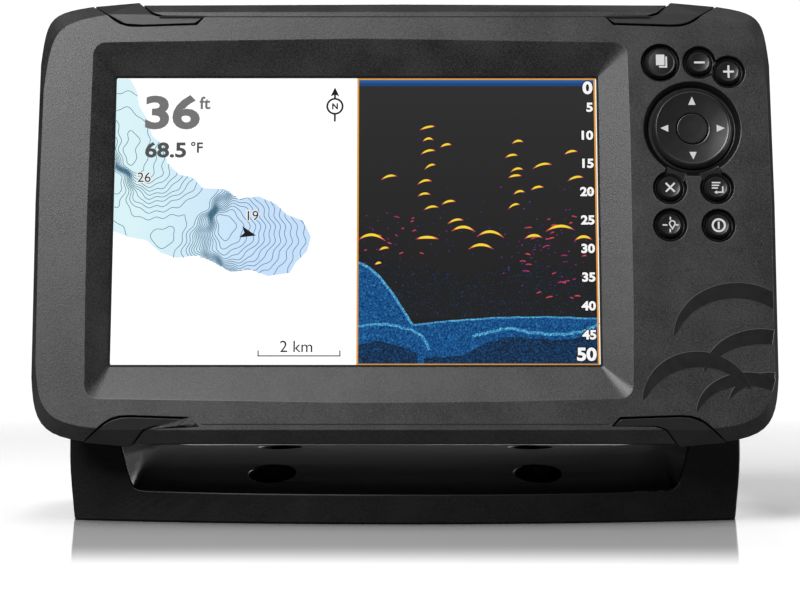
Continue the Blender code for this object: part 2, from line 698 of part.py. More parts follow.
def through(points, steps):
    """More points along a smooth curve through the given ones."""
    result = []
    for i in range(len(points) - 1):
        before = points[max(i - 1, 0)]
        start, end = points[i], points[i + 1]
        after = points[min(i + 2, len(points) - 1)]
        for step in range(steps):
            t = step / steps
            result.append(tuple(
                0.5 * (2 * q + (r - p) * t + (2 * p - 5 * q + 4 * r - s) * t ** 2
                       + (3 * q - p - 3 * r + s) * t ** 3)
                for p, q, r, s in zip(before, start, end, after)))
    return result + [points[-1]]


def smooth_step(value):
    value = min(1.0, max(0.0, value))
    return value * value * (3.0 - 2.0 * value)


def swell(fraction):
    """How far the inner surface has risen from lip to crest, 0 to 1."""
    if fraction < CREST_AT:
        return 1.0 - (1.0 - fraction / CREST_AT) ** 2.6
    return 1.0 - ((fraction - CREST_AT) / (1.0 - CREST_AT)) ** 3


def depth_range(x, z):
    """Front and rear Y of the bracket at a place seen from the front."""
    sweep = (x / BASE_HALF) ** 2
    front = BASE_FRONT + FRONT_BOW * sweep
    rear = BASE_REAR - REAR_BOW * sweep
    narrowing = smooth_step((z - ARM_FOOT) / (PIVOT_Z - ARM_FOOT))
    front += (PIVOT_Y - HEAD_RADIUS - front) * narrowing
    rear += (PIVOT_Y + HEAD_RADIUS - rear) * narrowing
    return front, rear


def bracket_ring(outer, lip, crest, side, span=None):
    """One cross-section of the U: front face, inner surface, rear face, outer face."""
    ring = []
    for fraction in DEPTH_STEPS:
        rise = swell(fraction)
        x = lip[0] + (crest[0] - lip[0]) * rise
        z = lip[1] + (crest[1] - lip[1]) * rise
        front, rear = span or depth_range(lip[0], z)
        ring.append((side * x, front + (rear - front) * fraction, z))
    front, rear = span or depth_range(*outer)
    arm = smooth_step((outer[0] - 98.0) / 8.0) * smooth_step((PIVOT_Z - outer[1]) / 50.0)
    for fraction in (1.0, 0.85, 0.5, 0.15, 0.0):
        bulge = ARM_BULGE * arm * 4.0 * fraction * (1.0 - fraction)
        ring.append((side * (outer[0] + bulge), front + (rear - front) * fraction, outer[1]))
    return ring


def head_rings(side):
    """The round top of an arm, centred on the tilt axis."""
    rings = []
    for degrees in HEAD_ANGLES:
        angle = math.radians(degrees)
        reach = HEAD_RADIUS * math.cos(angle)
        z = PIVOT_Z + HEAD_RADIUS * math.sin(angle)
        rings.append(bracket_ring((ARM_OUTER, z), (ARM_INNER, z), (ARM_INNER, z), side,
                                  (PIVOT_Y - reach, PIVOT_Y + reach)))
    return rings


def make_bracket(finish):
    """The one-piece U bracket, with four base screw holes and two pivot bores."""
    outer, lip, crest = (through(list(curve), STATIONS_PER_SPAN) for curve in zip(*U_CURVE))
    on_base = [(x, max(0.0, z)) for x, z in outer]
    stations = list(zip(on_base, lip, crest))
    right = [bracket_ring(*station, 1) for station in stations] + head_rings(1)
    left = [bracket_ring(*station, -1) for station in stations[1:]] + head_rings(-1)
    bracket = solid("bracket", skin(list(reversed(left)) + right), finish, smooth=True)
    cut(bracket, rod(BORE_RADIUS, -120.0, 120.0, 28, "x"), (0.0, PIVOT_Y, PIVOT_Z))
    for x in (-SCREW_HOLE_X, SCREW_HOLE_X):
        for y in SCREW_HOLE_ROWS:
            cut(bracket, rod(SCREW_HOLE_RADIUS, -2.0, 30.0, 16, "z"), (x, y, 0.0))
            cut(bracket, rod(COUNTERBORE_RADIUS, COUNTERBORE_FLOOR, 30.0, 28, "z"), (x, y, 0.0))


# ---------------------------------------------------------------- assembly

def clear_scene():
    for old in list(bpy.data.objects):
        bpy.data.objects.remove(old)


def main():
    clear_scene()
    paints = make_palette()
    face = make_frames()
    make_bracket(paints["bracket"])
    make_pivots(face, paints)
    make_front_bezel(face, paints["shell"])
    make_clips(face, paints["trim"])
    make_keys(face, paints["key"])
    make_cursor_pad(face, paints["key"], paints["trim"])
    make_gasket(face, paints["rubber"])
    make_display_stack(face, paints)
    make_ribbon(face, paints["film"])
    make_boards(face, paints)
    make_rear_housing(face, paints["shell"])
    make_sockets(face, paints["key"])
    make_card_reader(face, paints["steel"])
    make_card_door(face, paints["rubber"])
    make_vent(face, paints["rubber"])
    make_housing_screws(face, paints["steel"])


main()
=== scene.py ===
"""Looks of the fish finder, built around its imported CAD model.

Lengths in the face frame are millimetres: x to the right, v straight back from the
flat face, w up along the face from the screen's centre.
"""
import json
import math
import random

import bmesh
import bpy
from mathutils import Matrix, Vector

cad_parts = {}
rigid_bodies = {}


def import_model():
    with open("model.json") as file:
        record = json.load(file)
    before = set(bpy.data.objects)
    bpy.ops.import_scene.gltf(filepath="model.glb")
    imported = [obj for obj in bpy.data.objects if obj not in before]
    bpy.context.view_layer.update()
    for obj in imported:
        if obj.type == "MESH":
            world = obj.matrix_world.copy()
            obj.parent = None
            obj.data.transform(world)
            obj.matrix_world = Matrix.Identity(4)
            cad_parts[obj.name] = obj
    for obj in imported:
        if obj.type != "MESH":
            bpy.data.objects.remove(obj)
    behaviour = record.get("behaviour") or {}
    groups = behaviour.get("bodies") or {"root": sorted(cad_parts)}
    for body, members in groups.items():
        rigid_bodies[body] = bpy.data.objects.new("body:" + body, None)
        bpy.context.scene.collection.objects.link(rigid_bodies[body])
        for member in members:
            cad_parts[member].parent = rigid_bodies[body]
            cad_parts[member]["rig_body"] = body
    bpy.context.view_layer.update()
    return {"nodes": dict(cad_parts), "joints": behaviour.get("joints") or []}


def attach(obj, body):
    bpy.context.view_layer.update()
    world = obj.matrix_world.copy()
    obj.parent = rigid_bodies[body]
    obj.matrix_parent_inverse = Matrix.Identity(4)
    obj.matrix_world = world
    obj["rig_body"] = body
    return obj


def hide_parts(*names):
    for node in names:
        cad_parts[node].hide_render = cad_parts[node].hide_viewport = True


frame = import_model()

MM = 0.001
JOINTS = {joint["name"]: joint for joint in frame["joints"]}


# ---------------- the face frame

PIVOT_DEPTH = 38.0
PIVOT_DROP = 8.0


def face_matrix():
    """From face millimetres to world metres, read from the tilt axis and a key's travel."""
    into = Vector(JOINTS["enter_press"]["axis"]).normalized()
    up = Vector((0.0, -into.z, into.y))
    pivot = Vector(JOINTS["display_tilt"]["pos_m"])
    origin = pivot - into * PIVOT_DEPTH * MM + up * PIVOT_DROP * MM
    columns = (Vector((1.0, 0.0, 0.0)), into, up)
    turn = Matrix([[column[row] for column in columns] for row in range(3)]).to_4x4()
    return Matrix.Translation(origin) @ turn @ Matrix.Scale(MM, 4)


FACE = face_matrix()


def srgb(*levels):
    """A linear colour from 8-bit display levels."""
    if len(levels) == 1:
        levels = levels * 3
    return tuple(((c / 255 + 0.055) / 1.055) ** 2.4 if c > 10 else c / 3294.6 for c in levels)


def grey(level):
    return level, level, level


# ---------------- materials

MOTTLE_SIZE = 14.0               # in millimetres
GRAIN_SHARE = 0.75               # how much of a colour's change is grain; the rest is mottle
GLOSS_SPREAD = 0.06


def new_material(name, colour, roughness, metallic=0.0, shine=0.5):
    made = bpy.data.materials.new(name)
    made.use_nodes = True
    shader = made.node_tree.nodes["Principled BSDF"]
    shader.inputs["Base Color"].default_value = (*colour, 1.0)
    shader.inputs["Roughness"].default_value = roughness
    shader.inputs["Metallic"].default_value = metallic
    shader.inputs["Specular IOR Level"].default_value = shine
    return made, made.node_tree, shader


def math_node(tree, operation, *values):
    """A Math node; each input is a socket or a number."""
    node = tree.nodes.new("ShaderNodeMath")
    node.operation = operation
    for socket, value in zip(node.inputs, values):
        if isinstance(value, bpy.types.NodeSocket):
            tree.links.new(value, socket)
        else:
            socket.default_value = value
    return node.outputs[0]


def object_noise(tree, size, detail=2.0, stretch=(1.0, 1.0, 1.0)):
    """Noise fixed to the piece, whose grains are about `size` millimetres."""
    place = tree.nodes.new("ShaderNodeTexCoord")
    mapping = tree.nodes.new("ShaderNodeMapping")
    mapping.inputs["Scale"].default_value = stretch
    noise = tree.nodes.new("ShaderNodeTexNoise")
    noise.inputs["Scale"].default_value = 1.0 / (size * MM)
    noise.inputs["Detail"].default_value = detail
    tree.links.new(place.outputs["Object"], mapping.inputs["Vector"])
    tree.links.new(mapping.outputs["Vector"], noise.inputs["Vector"])
    return noise.outputs["Fac"]


def ramp(tree, source, stops, target):
    """A colour ramp from a source socket to a target; stops are (position, colour)."""
    node = tree.nodes.new("ShaderNodeValToRGB")
    elements = node.color_ramp.elements
    for number, (position, colour) in enumerate(stops):
        element = elements[number] if number < 2 else elements.new(position)
        element.position = position
        element.color = (*colour, 1.0)
    tree.links.new(source, node.inputs["Fac"])
    tree.links.new(node.outputs["Color"], target)


def object_span(tree, axis, start, end):
    """A value that grows from 0 to 1 between two places along the piece, in metres."""
    place = tree.nodes.new("ShaderNodeTexCoord")
    split = tree.nodes.new("ShaderNodeSeparateXYZ")
    span = tree.nodes.new("ShaderNodeMapRange")
    span.inputs["From Min"].default_value = start
    span.inputs["From Max"].default_value = end
    tree.links.new(place.outputs["Object"], split.inputs["Vector"])
    tree.links.new(split.outputs[axis], span.inputs["Value"])
    return span.outputs["Result"]


def vary_gloss(tree, shader, source, low, high):
    """Roughness between two values, following a noise."""
    gloss = tree.nodes.new("ShaderNodeMapRange")
    gloss.inputs["To Min"].default_value = low
    gloss.inputs["To Max"].default_value = high
    tree.links.new(source, gloss.inputs["Value"])
    tree.links.new(gloss.outputs["Result"], shader.inputs["Roughness"])


def add_bump(tree, shader, source, strength, depth):
    bump = tree.nodes.new("ShaderNodeBump")
    bump.inputs["Strength"].default_value = strength
    bump.inputs["Distance"].default_value = depth * MM
    tree.links.new(source, bump.inputs["Height"])
    tree.links.new(bump.outputs["Normal"], shader.inputs["Normal"])


def moulded(name, dark, light, roughness, grain, grain_depth, shine=0.5):
    """Moulded plastic: fine grain in relief, and a faint mottle in colour and gloss."""
    made, tree, shader = new_material(name, dark, roughness, shine=shine)
    fine = object_noise(tree, grain, 3.0)
    broad = object_noise(tree, MOTTLE_SIZE, 3.0)
    mixed = math_node(tree, "MULTIPLY_ADD", fine, GRAIN_SHARE,
                      math_node(tree, "MULTIPLY", broad, 1.0 - GRAIN_SHARE))
    ramp(tree, mixed, [(0.4, dark), (0.6, light)], shader.inputs["Base Color"])
    vary_gloss(tree, shader, broad, roughness - GLOSS_SPREAD, roughness + GLOSS_SPREAD)
    add_bump(tree, shader, fine, 0.6, grain_depth)
    return made


def smooth_plastic(name, colour, roughness, shine=0.5):
    """Polished plastic: a slight orange peel and a trace of handling in its gloss."""
    made, tree, shader = new_material(name, colour, roughness, shine=shine)
    peel = object_noise(tree, 3.0)
    vary_gloss(tree, shader, peel, roughness * 0.8, roughness * 1.25)
    add_bump(tree, shader, peel, 0.15, 0.01)
    return made


SCOOP_BLACK = grey(0.001)
SCOOP_PAINTED_REFLECTION = grey(0.07)
SCOOP_REFLECTION_SPAN = (0.0155, 0.0215)    # heights between which the scoop turns grey and black again, a painted reflection


def scoop_gloss():
    """The bracket's polished scoop: black, with a grey band just under its crest, a painted
    reflection of the white backdrop seen at a grazing angle.
    """
    made, tree, shader = new_material("bracket_gloss", SCOOP_BLACK, 0.26, shine=0.15)
    # painted reflection: grey just under the crest, black above and below it
    ramp(tree, object_span(tree, "Z", *SCOOP_REFLECTION_SPAN),
         [(0.0, SCOOP_BLACK), (1.0, SCOOP_BLACK), (0.82, SCOOP_PAINTED_REFLECTION)],
         shader.inputs["Base Color"])
    return made


def lit(name, colour, strength=1.0):
    """A part of the lit screen in nearly one colour, with a faint mottle."""
    darker = tuple(0.94 * c for c in colour)
    lighter = tuple(min(1.0, 1.05 * c) for c in colour)
    return lit_speckle(name, [(0.3, darker), (0.7, lighter)], 1.2, strength)


def lit_speckle(name, stops, size, strength=1.0, detail=4.0):
    """A part of the lit screen whose colour is picked from a ramp by fine noise."""
    made, tree, shader = new_material(name, grey(0.0), 0.9, shine=0.0)
    shader.inputs["Emission Strength"].default_value = strength
    ramp(tree, object_noise(tree, size, detail), stops, shader.inputs["Emission Color"])
    return made


def graded(name, stops, axis, start, end):
    """A part of the lit screen that changes colour evenly from start to end, in metres."""
    made, tree, shader = new_material(name, grey(0.0), 0.9, shine=0.0)
    shader.inputs["Emission Strength"].default_value = 1.0
    ramp(tree, object_span(tree, axis, start, end), stops, shader.inputs["Emission Color"])
    return made


def sheet_metal(name, colour, roughness):
    made, tree, shader = new_material(name, colour, roughness, 1.0)
    brushed = object_noise(tree, 0.3, stretch=(0.05, 1.0, 1.0))
    vary_gloss(tree, shader, brushed, roughness - 0.08, roughness + 0.12)
    add_bump(tree, shader, brushed, 0.2, 0.01)
    return made


def clear_pane(name):
    made, tree, shader = new_material(name, grey(1.0), 0.02)
    shader.inputs["Transmission Weight"].default_value = 1.0
    shader.inputs["IOR"].default_value = 1.25
    return made


def make_materials():
    return {
        "shell": moulded("shell_grain", (0.005, 0.005, 0.0052), (0.036, 0.036, 0.037), 0.42,
                         0.36, 0.08),
        "trim": smooth_plastic("clip_satin", (0.014, 0.014, 0.0145), 0.38, 0.38),
        "shadow": moulded("painted_shade_black", grey(0.002), grey(0.005), 0.8, 0.5, 0.01),
        "bracket_grain": moulded("bracket_grain", grey(0.001), grey(0.006), 0.5, 0.5, 0.1, 0.2),
        "bracket_gloss": scoop_gloss(),
        "key": smooth_plastic("key_gloss", grey(0.012), 0.3),
        "inlay": smooth_plastic("sweep_satin", grey(0.005), 0.4, 0.35),
        # painted highlight: lighter grey for the arcs' sloping sides
        "painted_edge_highlight": smooth_plastic("sweep_painted_highlight", grey(0.05), 0.34),
        # painted shade: near black for the pockets around the keys
        "pocket": smooth_plastic("pocket_painted_shade", grey(0.003), 0.36),
        "rubber": moulded("rubber_grain", grey(0.01), grey(0.018), 0.75, 0.8, 0.03),
        "legend": lit("key_legend", grey(0.9), 0.75),
        "mark": lit("pad_arrow", grey(0.62)),
        "lens": clear_pane("lens_clear"),
        "steel": sheet_metal("screw_steel", (0.45, 0.45, 0.46), 0.35),
        "board": moulded("board_mask", (0.01, 0.1, 0.04), (0.015, 0.14, 0.06), 0.4, 2.0, 0.01),
        "film": smooth_plastic("ribbon_film", (0.4, 0.18, 0.03), 0.35),
        "ceramic": moulded("antenna_ceramic", (0.55, 0.5, 0.42), (0.62, 0.58, 0.5), 0.6,
                           0.5, 0.02),
        "diffuser": smooth_plastic("diffuser_white", grey(0.8), 0.4),
    }


MATERIALS = make_materials()


# ---------------- making pieces

def add_object(name, data):
    made = bpy.data.objects.new(name, data)
    bpy.context.scene.collection.objects.link(made)
    return made


def shade(mesh, sharp):
    """Smooth shading, but for edges sharper than this angle in degrees."""
    mesh.shade_smooth()
    mesh.set_sharp_from_angle(angle=math.radians(sharp))


def finish_piece(piece, body, replaces=()):
    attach(piece, body)
    if replaces:
        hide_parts(*replaces)
    return piece


def mesh_piece(name, shape, material, body, replaces=(), smooth=None):
    """A piece from (verts, faces) in face millimetres; `smooth` is its sharp angle."""
    verts, faces = shape
    mesh = bpy.data.meshes.new(name)
    mesh.from_pydata([FACE @ Vector(v) for v in verts], [], faces)
    work = bmesh.new()
    work.from_mesh(mesh)
    bmesh.ops.recalc_face_normals(work, faces=work.faces)
    work.to_mesh(mesh)
    work.free()
    mesh.materials.append(material)
    if smooth is not None:
        shade(mesh, smooth)
    return finish_piece(add_object(name, mesh), body, replaces)


def skin(loops, closed=False):
    """Join rings of equal length into a solid, capped unless the rings close."""
    count = len(loops[0])
    verts = [point for loop in loops for point in loop]
    faces = []
    spans = len(loops) if closed else len(loops) - 1
    for ring in range(spans):
        near = ring * count
        far = (ring + 1) % len(loops) * count
        for i in range(count):
            j = (i + 1) % count
            faces.append((near + i, near + j, far + j, far + i))
    if not closed:
        faces.append(tuple(range(count)))
        faces.append(tuple(range(len(verts) - count, len(verts))))
    return verts, faces


def merged(shapes):
    """Several (verts, faces) shapes as one."""
    verts, faces = [], []
    for part_verts, part_faces in shapes:
        shift = len(verts)
        verts.extend(part_verts)
        faces.extend(tuple(i + shift for i in face) for face in part_faces)
    return verts, faces


def turned(profile, centre, sides=64, closed=False):
    """A solid turned about a line straight into the face at centre (x, w)."""
    loops = [[(x, depth, w) for x, w in circle(centre, radius, sides)]
             for radius, depth in profile]
    return skin(loops, closed)


def rotated(x, w, degrees):
    """A point turned about the origin."""
    angle = math.radians(degrees)
    return x * math.cos(angle) - w * math.sin(angle), x * math.sin(angle) + w * math.cos(angle)


def box(left, right, low, high):
    """The corners of an upright rectangle."""
    return [(left, low), (right, low), (right, high), (left, high)]


def slab(outline, front, back):
    """An (x, w) outline as a thin plate."""
    return skin([[(x, depth, w) for x, w in outline] for depth in (front, back)])


def stroke(points, width, front, back, closed=False):
    """A line of constant width along (x, w) points, with mitred joins."""
    count = len(points)
    left, right = [], []
    for i, point in enumerate(points):
        before = points[i - 1] if i > 0 or closed else None
        after = points[(i + 1) % count] if i < count - 1 or closed else None
        heads = []
        for a, b in ((before, point), (point, after)):
            if a is not None and b is not None:
                heads.append(Vector((b[0] - a[0], b[1] - a[1])).normalized())
        mean = sum(heads, Vector((0.0, 0.0))).normalized()
        stretch = 1.0 / max(0.5, mean.dot(heads[0]))
        side = Vector((-mean.y, mean.x)) * (width / 2 * stretch)
        left.append((point[0] + side.x, point[1] + side.y))
        right.append((point[0] - side.x, point[1] - side.y))
    rings = [[(l[0], front, l[1]), (r[0], front, r[1]), (r[0], back, r[1]), (l[0], back, l[1])]
             for l, r in zip(left, right)]
    return skin(rings, closed)


def arc(centre, radius, start, end, steps):
    """Points on a circular arc, with angles in degrees."""
    points = []
    for i in range(steps + 1):
        angle = math.radians(start + (end - start) * i / steps)
        points.append((centre[0] + radius * math.cos(angle),
                       centre[1] + radius * math.sin(angle)))
    return points


def circle(centre, radius, steps=32):
    return arc(centre, radius, 0, 360 - 360 / steps, steps - 1)


def refined(node, material, bevel, sharp=30, segments=2, shape=None):
    """A node's own shape, welded clean, with its hard edges rounded off.

    `shape` may move a vertex, given its place in face millimetres.
    """
    source = frame["nodes"][node]
    work = bmesh.new()
    work.from_mesh(source.data)
    bmesh.ops.remove_doubles(work, verts=work.verts, dist=0.000002)
    if shape:
        back = FACE.inverted()
        for vert in work.verts:
            vert.co = FACE @ shape(back @ vert.co)
    bmesh.ops.dissolve_limit(work, angle_limit=math.radians(0.4), verts=work.verts,
                             edges=work.edges)
    mesh = bpy.data.meshes.new(node + "_fine")
    work.to_mesh(mesh)
    work.free()
    mesh.materials.append(material)
    shade(mesh, sharp)
    piece = add_object(node + "_fine", mesh)
    rounding = piece.modifiers.new("edges", "BEVEL")
    rounding.width = bevel * MM
    rounding.segments = segments
    rounding.limit_method = "ANGLE"
    rounding.angle_limit = math.radians(sharp)
    rounding.use_clamp_overlap = False
    evening = piece.modifiers.new("shading", "WEIGHTED_NORMAL")
    evening.keep_sharp = True
    return finish_piece(piece, source["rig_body"], (node,))


def paint(node, material):
    """Give a CAD node that keeps its shape its finish."""
    mesh = frame["nodes"][node].data
    mesh.materials.clear()
    mesh.materials.append(material)


# ---------------- stage

MIRROR_SHARE = 0.72
MIRROR_BESIDE = 0.3              # what is left of the mirror to the left and right of the object
MIRROR_SIDES = (0.104, 0.13)     # where it falls off to the sides, in metres
MIRROR_ENDS = (0.096, 0.162)     # where it falls off to the front and back
# reach of the floor's painted contact shadow, in metres
CONTACT_SHADE_REACH = 0.022
FLOOR_HALF = 1.5
FLOOR_FADE = (0.3, 0.7)
FLOOR_WHITE = (0.97, 0.97, 0.97, 1.0)
FLOOR_BOUNCE = (0.2, 0.2, 0.2, 1.0)
WHITE = (1.0, 1.0, 1.0, 1.0)
ROOM_LIGHT = 0.05
BACKDROP_LIGHT = 1.05


def falloff(tree, source, start, end, top=1.0):
    """A smooth fall from `top` to nothing, between two values of the source."""
    node = tree.nodes.new("ShaderNodeMapRange")
    node.interpolation_type = "SMOOTHSTEP"
    node.inputs["From Min"].default_value = start
    node.inputs["From Max"].default_value = end
    node.inputs["To Min"].default_value = top
    node.inputs["To Max"].default_value = 0.0
    tree.links.new(source, node.inputs["Value"])
    return node.outputs["Result"]


def mix_shaders(tree, share, first, second):
    node = tree.nodes.new("ShaderNodeMixShader")
    tree.links.new(share, node.inputs["Fac"])
    tree.links.new(first, node.inputs[1])
    tree.links.new(second, node.inputs[2])
    return node.outputs[0]


def floor_material():
    """White sheet, mirroring the object only close to it, that fades into the backdrop.

    Light that bounces off it is dimmer than it looks, as on a sheet lit from behind. Next to the
    object its white is darkened by ambient occlusion, a painted contact shadow.
    """
    made = bpy.data.materials.new("floor_white")
    made.use_nodes = True
    tree = made.node_tree
    tree.nodes.remove(tree.nodes["Principled BSDF"])
    place = tree.nodes.new("ShaderNodeTexCoord")
    split = tree.nodes.new("ShaderNodeSeparateXYZ")
    tree.links.new(place.outputs["Object"], split.inputs["Vector"])
    across = math_node(tree, "ABSOLUTE", split.outputs["X"])
    along = math_node(tree, "ABSOLUTE", split.outputs["Y"])
    beside = math_node(tree, "ADD", falloff(tree, across, *MIRROR_SIDES, 1.0 - MIRROR_BESIDE),
                       MIRROR_BESIDE)
    mirror = math_node(tree, "MULTIPLY", beside,
                       falloff(tree, along, *MIRROR_ENDS, MIRROR_SHARE))
    white = tree.nodes.new("ShaderNodeBsdfDiffuse")
    # painted contact shadow: ambient occlusion darkens the floor's white near the object
    contact_shade = tree.nodes.new("ShaderNodeAmbientOcclusion")
    contact_shade.inputs["Distance"].default_value = CONTACT_SHADE_REACH
    contact_shade.inputs["Color"].default_value = FLOOR_WHITE
    tree.links.new(contact_shade.outputs["Color"], white.inputs["Color"])
    gloss = tree.nodes.new("ShaderNodeBsdfGlossy")
    gloss.inputs["Roughness"].default_value = 0.06
    seen = mix_shaders(tree, mirror, white.outputs[0], gloss.outputs[0])
    dim = tree.nodes.new("ShaderNodeBsdfDiffuse")
    dim.inputs["Color"].default_value = FLOOR_BOUNCE
    path = tree.nodes.new("ShaderNodeLightPath")
    sheet = mix_shaders(tree, path.outputs["Is Camera Ray"], dim.outputs[0], seen)
    reach = tree.nodes.new("ShaderNodeVectorMath")
    reach.operation = "LENGTH"
    tree.links.new(place.outputs["Object"], reach.inputs[0])
    clear = tree.nodes.new("ShaderNodeBsdfTransparent")
    kept = falloff(tree, reach.outputs["Value"], *FLOOR_FADE)
    result = mix_shaders(tree, kept, clear.outputs[0], sheet)
    tree.links.new(result, tree.nodes["Material Output"].inputs["Surface"])
    return made


def make_floor():
    mesh = bpy.data.meshes.new("floor")
    corners = box(-FLOOR_HALF, FLOOR_HALF, -FLOOR_HALF, FLOOR_HALF)
    mesh.from_pydata([(x, y, 0.0) for x, y in corners], [], [(0, 1, 2, 3)])
    mesh.materials.append(floor_material())
    floor = add_object("floor", mesh)
    floor.location.z = -0.0002
    return floor


def light_floor(floor):
    """White walls that only the floor reflects, and more light from above for it alone."""
    only = bpy.data.collections.new("floor_only")
    only.objects.link(floor)
    above = area_light("floor_fill", (0.0, 0.1, 2.2), (0.0, 0.1, 0.0), (3.4, 3.4), 30.0)
    above.visible_glossy = False
    above.light_linking.receiver_collection = only
    for x, y in ((0, 1), (1, 0), (0, -1), (-1, 0)):
        wall = area_light("wall", (1.2 * x, 1.2 * y, 0.4), (0.0, 0.0, 0.4), (2.4, 1.0), 8.3)
        wall.visible_diffuse = False
        wall.light_linking.receiver_collection = only


def make_world():
    """White to the camera, and a dim grey room to everything else."""
    world = bpy.data.worlds.new("studio")
    world.use_nodes = True
    tree = world.node_tree
    seen = tree.nodes["Background"]
    room = tree.nodes.new("ShaderNodeBackground")
    for node, strength in ((seen, BACKDROP_LIGHT), (room, ROOM_LIGHT)):
        node.inputs["Color"].default_value = WHITE
        node.inputs["Strength"].default_value = strength
    path = tree.nodes.new("ShaderNodeLightPath")
    mix = mix_shaders(tree, path.outputs["Is Camera Ray"], room.outputs[0], seen.outputs[0])
    tree.links.new(mix, tree.nodes["World Output"].inputs["Surface"])
    bpy.context.scene.world = world


def area_light(name, place, aim, size, power):
    data = bpy.data.lights.new(name, "AREA")
    data.shape = "RECTANGLE"
    data.size, data.size_y = size
    data.energy = power
    lamp = add_object(name, data)
    lamp.location = place
    direction = Vector(aim) - Vector(place)
    lamp.rotation_euler = direction.to_track_quat("-Z", "Y").to_euler()
    lamp.visible_camera = False
    return lamp


def make_lights():
    middle = (0.0, -0.03, 0.09)
    area_light("overhead", (0.0, -0.5, 2.2), (0.0, -0.5, 0.0), (3.4, 2.2), 21.0)
    area_light("key", (-0.62, -1.15, 1.05), middle, (0.8, 0.8), 32.0)
    area_light("edge", (1.1, -0.05, 0.2), middle, (0.25, 0.8), 4.0)


def light_back(floor):
    """Two lights from behind that leave the floor, and so the shadows on it, as they are.

    The bracket has one of its own, so far to the side that its scoop doesn't mirror it.
    """
    bracket = bpy.data.objects["bracket_fine"]
    case = [piece for piece in bpy.context.scene.objects
            if piece.type == "MESH" and piece not in (floor, bracket)]
    for place, pieces in (((0.05, 1.5, 0.65), case), ((1.35, 0.95, 0.6), [bracket])):
        lamp = area_light("rear", place, (0.0, 0.0, 0.09), (0.9, 0.9), 24.0)
        lit_pieces = bpy.data.collections.new("lit_from_behind")
        for piece in pieces:
            lit_pieces.objects.link(piece)
        lamp.light_linking.receiver_collection = lit_pieces


def make_camera():
    data = bpy.data.cameras.new("camera")
    data.lens = 90.2
    data.sensor_width = 36.0
    data.shift_x = -0.00625
    camera = add_object("camera", data)
    camera.location = (0.0, -0.673, 0.06877)
    camera.rotation_euler = (math.radians(90.0), 0.0, 0.0)
    bpy.context.scene.camera = camera
    bpy.context.scene.view_settings.view_transform = "Standard"


# ---------------- case

PATTERN_TOP = -0.26
PATTERN_STEP = 0.02              # each arc lies this much lower than the one before
PATTERN_SLOPE = 0.24
# Centre, half width, half height, start and end angle, greatest thickness, reach
SWEEPS = [((103.0, -38.0), 20.0, 17.0, 178, 30, 4.8, 0.7),
          ((90.0, -58.0), 17.0, 15.5, 178, 14, 4.8, 1.0),
          ((110.0, -49.5), 18.0, 14.0, 176, 76, 4.6, 0.6),
          ((105.5, -61.5), 16.0, 12.5, 178, 52, 4.2, 0.62),
          ((112.5, -58.5), 13.0, 9.5, 172, 84, 3.0, 0.55)]
CLIP_LEAN = 0.2
CLIP_SEAM = 0.32
KEYPAD = (73.0, 110.0, -12.0, 58.0)    # left, right, low and high edge of the keys' area


def crescent(centre, radius, height, start, end, weight, reach):
    """A tapering arc; `reach` is 1 when it runs out to a point, less when it is cut short."""
    steps = 36
    outer, inner = [], []
    for i in range(steps + 1):
        share = i / steps
        angle = math.radians(start + (end - start) * share)
        thin = weight * math.sin(math.pi * share * reach) ** 0.6
        for line, less in ((outer, 0.0), (inner, thin)):
            line.append((centre[0] + (radius - less) * math.cos(angle),
                         centre[1] + (height - less) * math.sin(angle)))
    outline = outer + inner[-1 if reach < 1.0 else -2:0:-1]
    return [(min(x, pattern_edge(w)), w) for x, w in outline]


def pattern_edge(w):
    """How far right the flat face reaches at this height."""
    return 114.0 - 10.0 * max(0.0, (-46.0 - w) / 20.0) ** 3


def widened(outline, amount):
    """An outline moved outwards along the mean of its sides' normals."""
    count = len(outline)
    area = sum(outline[i - 1][0] * outline[i][1] - outline[i][0] * outline[i - 1][1]
               for i in range(count))
    turn = math.copysign(1.0, area)
    points = []
    for i in range(count):
        before, here, after = (Vector(outline[i - 1]), Vector(outline[i]),
                               Vector(outline[(i + 1) % count]))
        along = (here - before).normalized() + (after - here).normalized()
        side = Vector((along.y, -along.x)) * turn
        points.append(tuple(here + side * amount / max(0.6, along.length_squared / 2)))
    return points


def raised(outline, top):
    """A low plateau with sloping sides, standing on the face."""
    foot = widened(outline, PATTERN_SLOPE)
    return skin([[(x, top, w) for x, w in outline], [(x, 0.01, w) for x, w in foot],
                 [(x, 0.3, w) for x, w in foot]])


def make_pattern():
    """Smooth overlapping arcs, slightly raised from the grained face, with their sloping sides
    painted lighter as a painted highlight.
    """
    shapes = [raised(crescent(*sweep), PATTERN_TOP + PATTERN_STEP * number)
              for number, sweep in enumerate(SWEEPS)]
    sweeps = mesh_piece("face_sweeps", merged(shapes), MATERIALS["inlay"], "display_unit")
    # painted highlight: the sloping sides take the lighter material
    sweeps.data.materials.append(MATERIALS["painted_edge_highlight"])
    into = FACE.col[1].xyz.normalized()
    for face in sweeps.data.polygons:
        if abs(face.normal.dot(into)) < 0.95:
            face.material_index = 1


def tipped(place):
    """A clip's finger leans outwards more than the face, and leaves a wider seam."""
    if place.y < 2.0:
        place.y += CLIP_LEAN * (abs(place.z) - 61.8)
    place.x += CLIP_SEAM * (1.0 if place.x < -82.0 or 0.0 < place.x < 82.0 else -1.0)
    if abs(place.z) < 64.5:
        place.z += math.copysign(CLIP_SEAM, place.z)
    return place


def make_grooves():
    """Painted shade: thin dark strips where grooves run along the face's top and bottom edges,
    between the clips.
    """
    grooves = [stroke([(-78.0, 64.78), (78.0, 64.78)], 0.35, -0.01, 0.1),
               stroke([(-62.5, -65.05), (62.5, -65.05)], 0.42, -0.01, 0.1)]
    mesh_piece("face_groove_shade", merged(grooves), MATERIALS["shadow"], "display_unit")


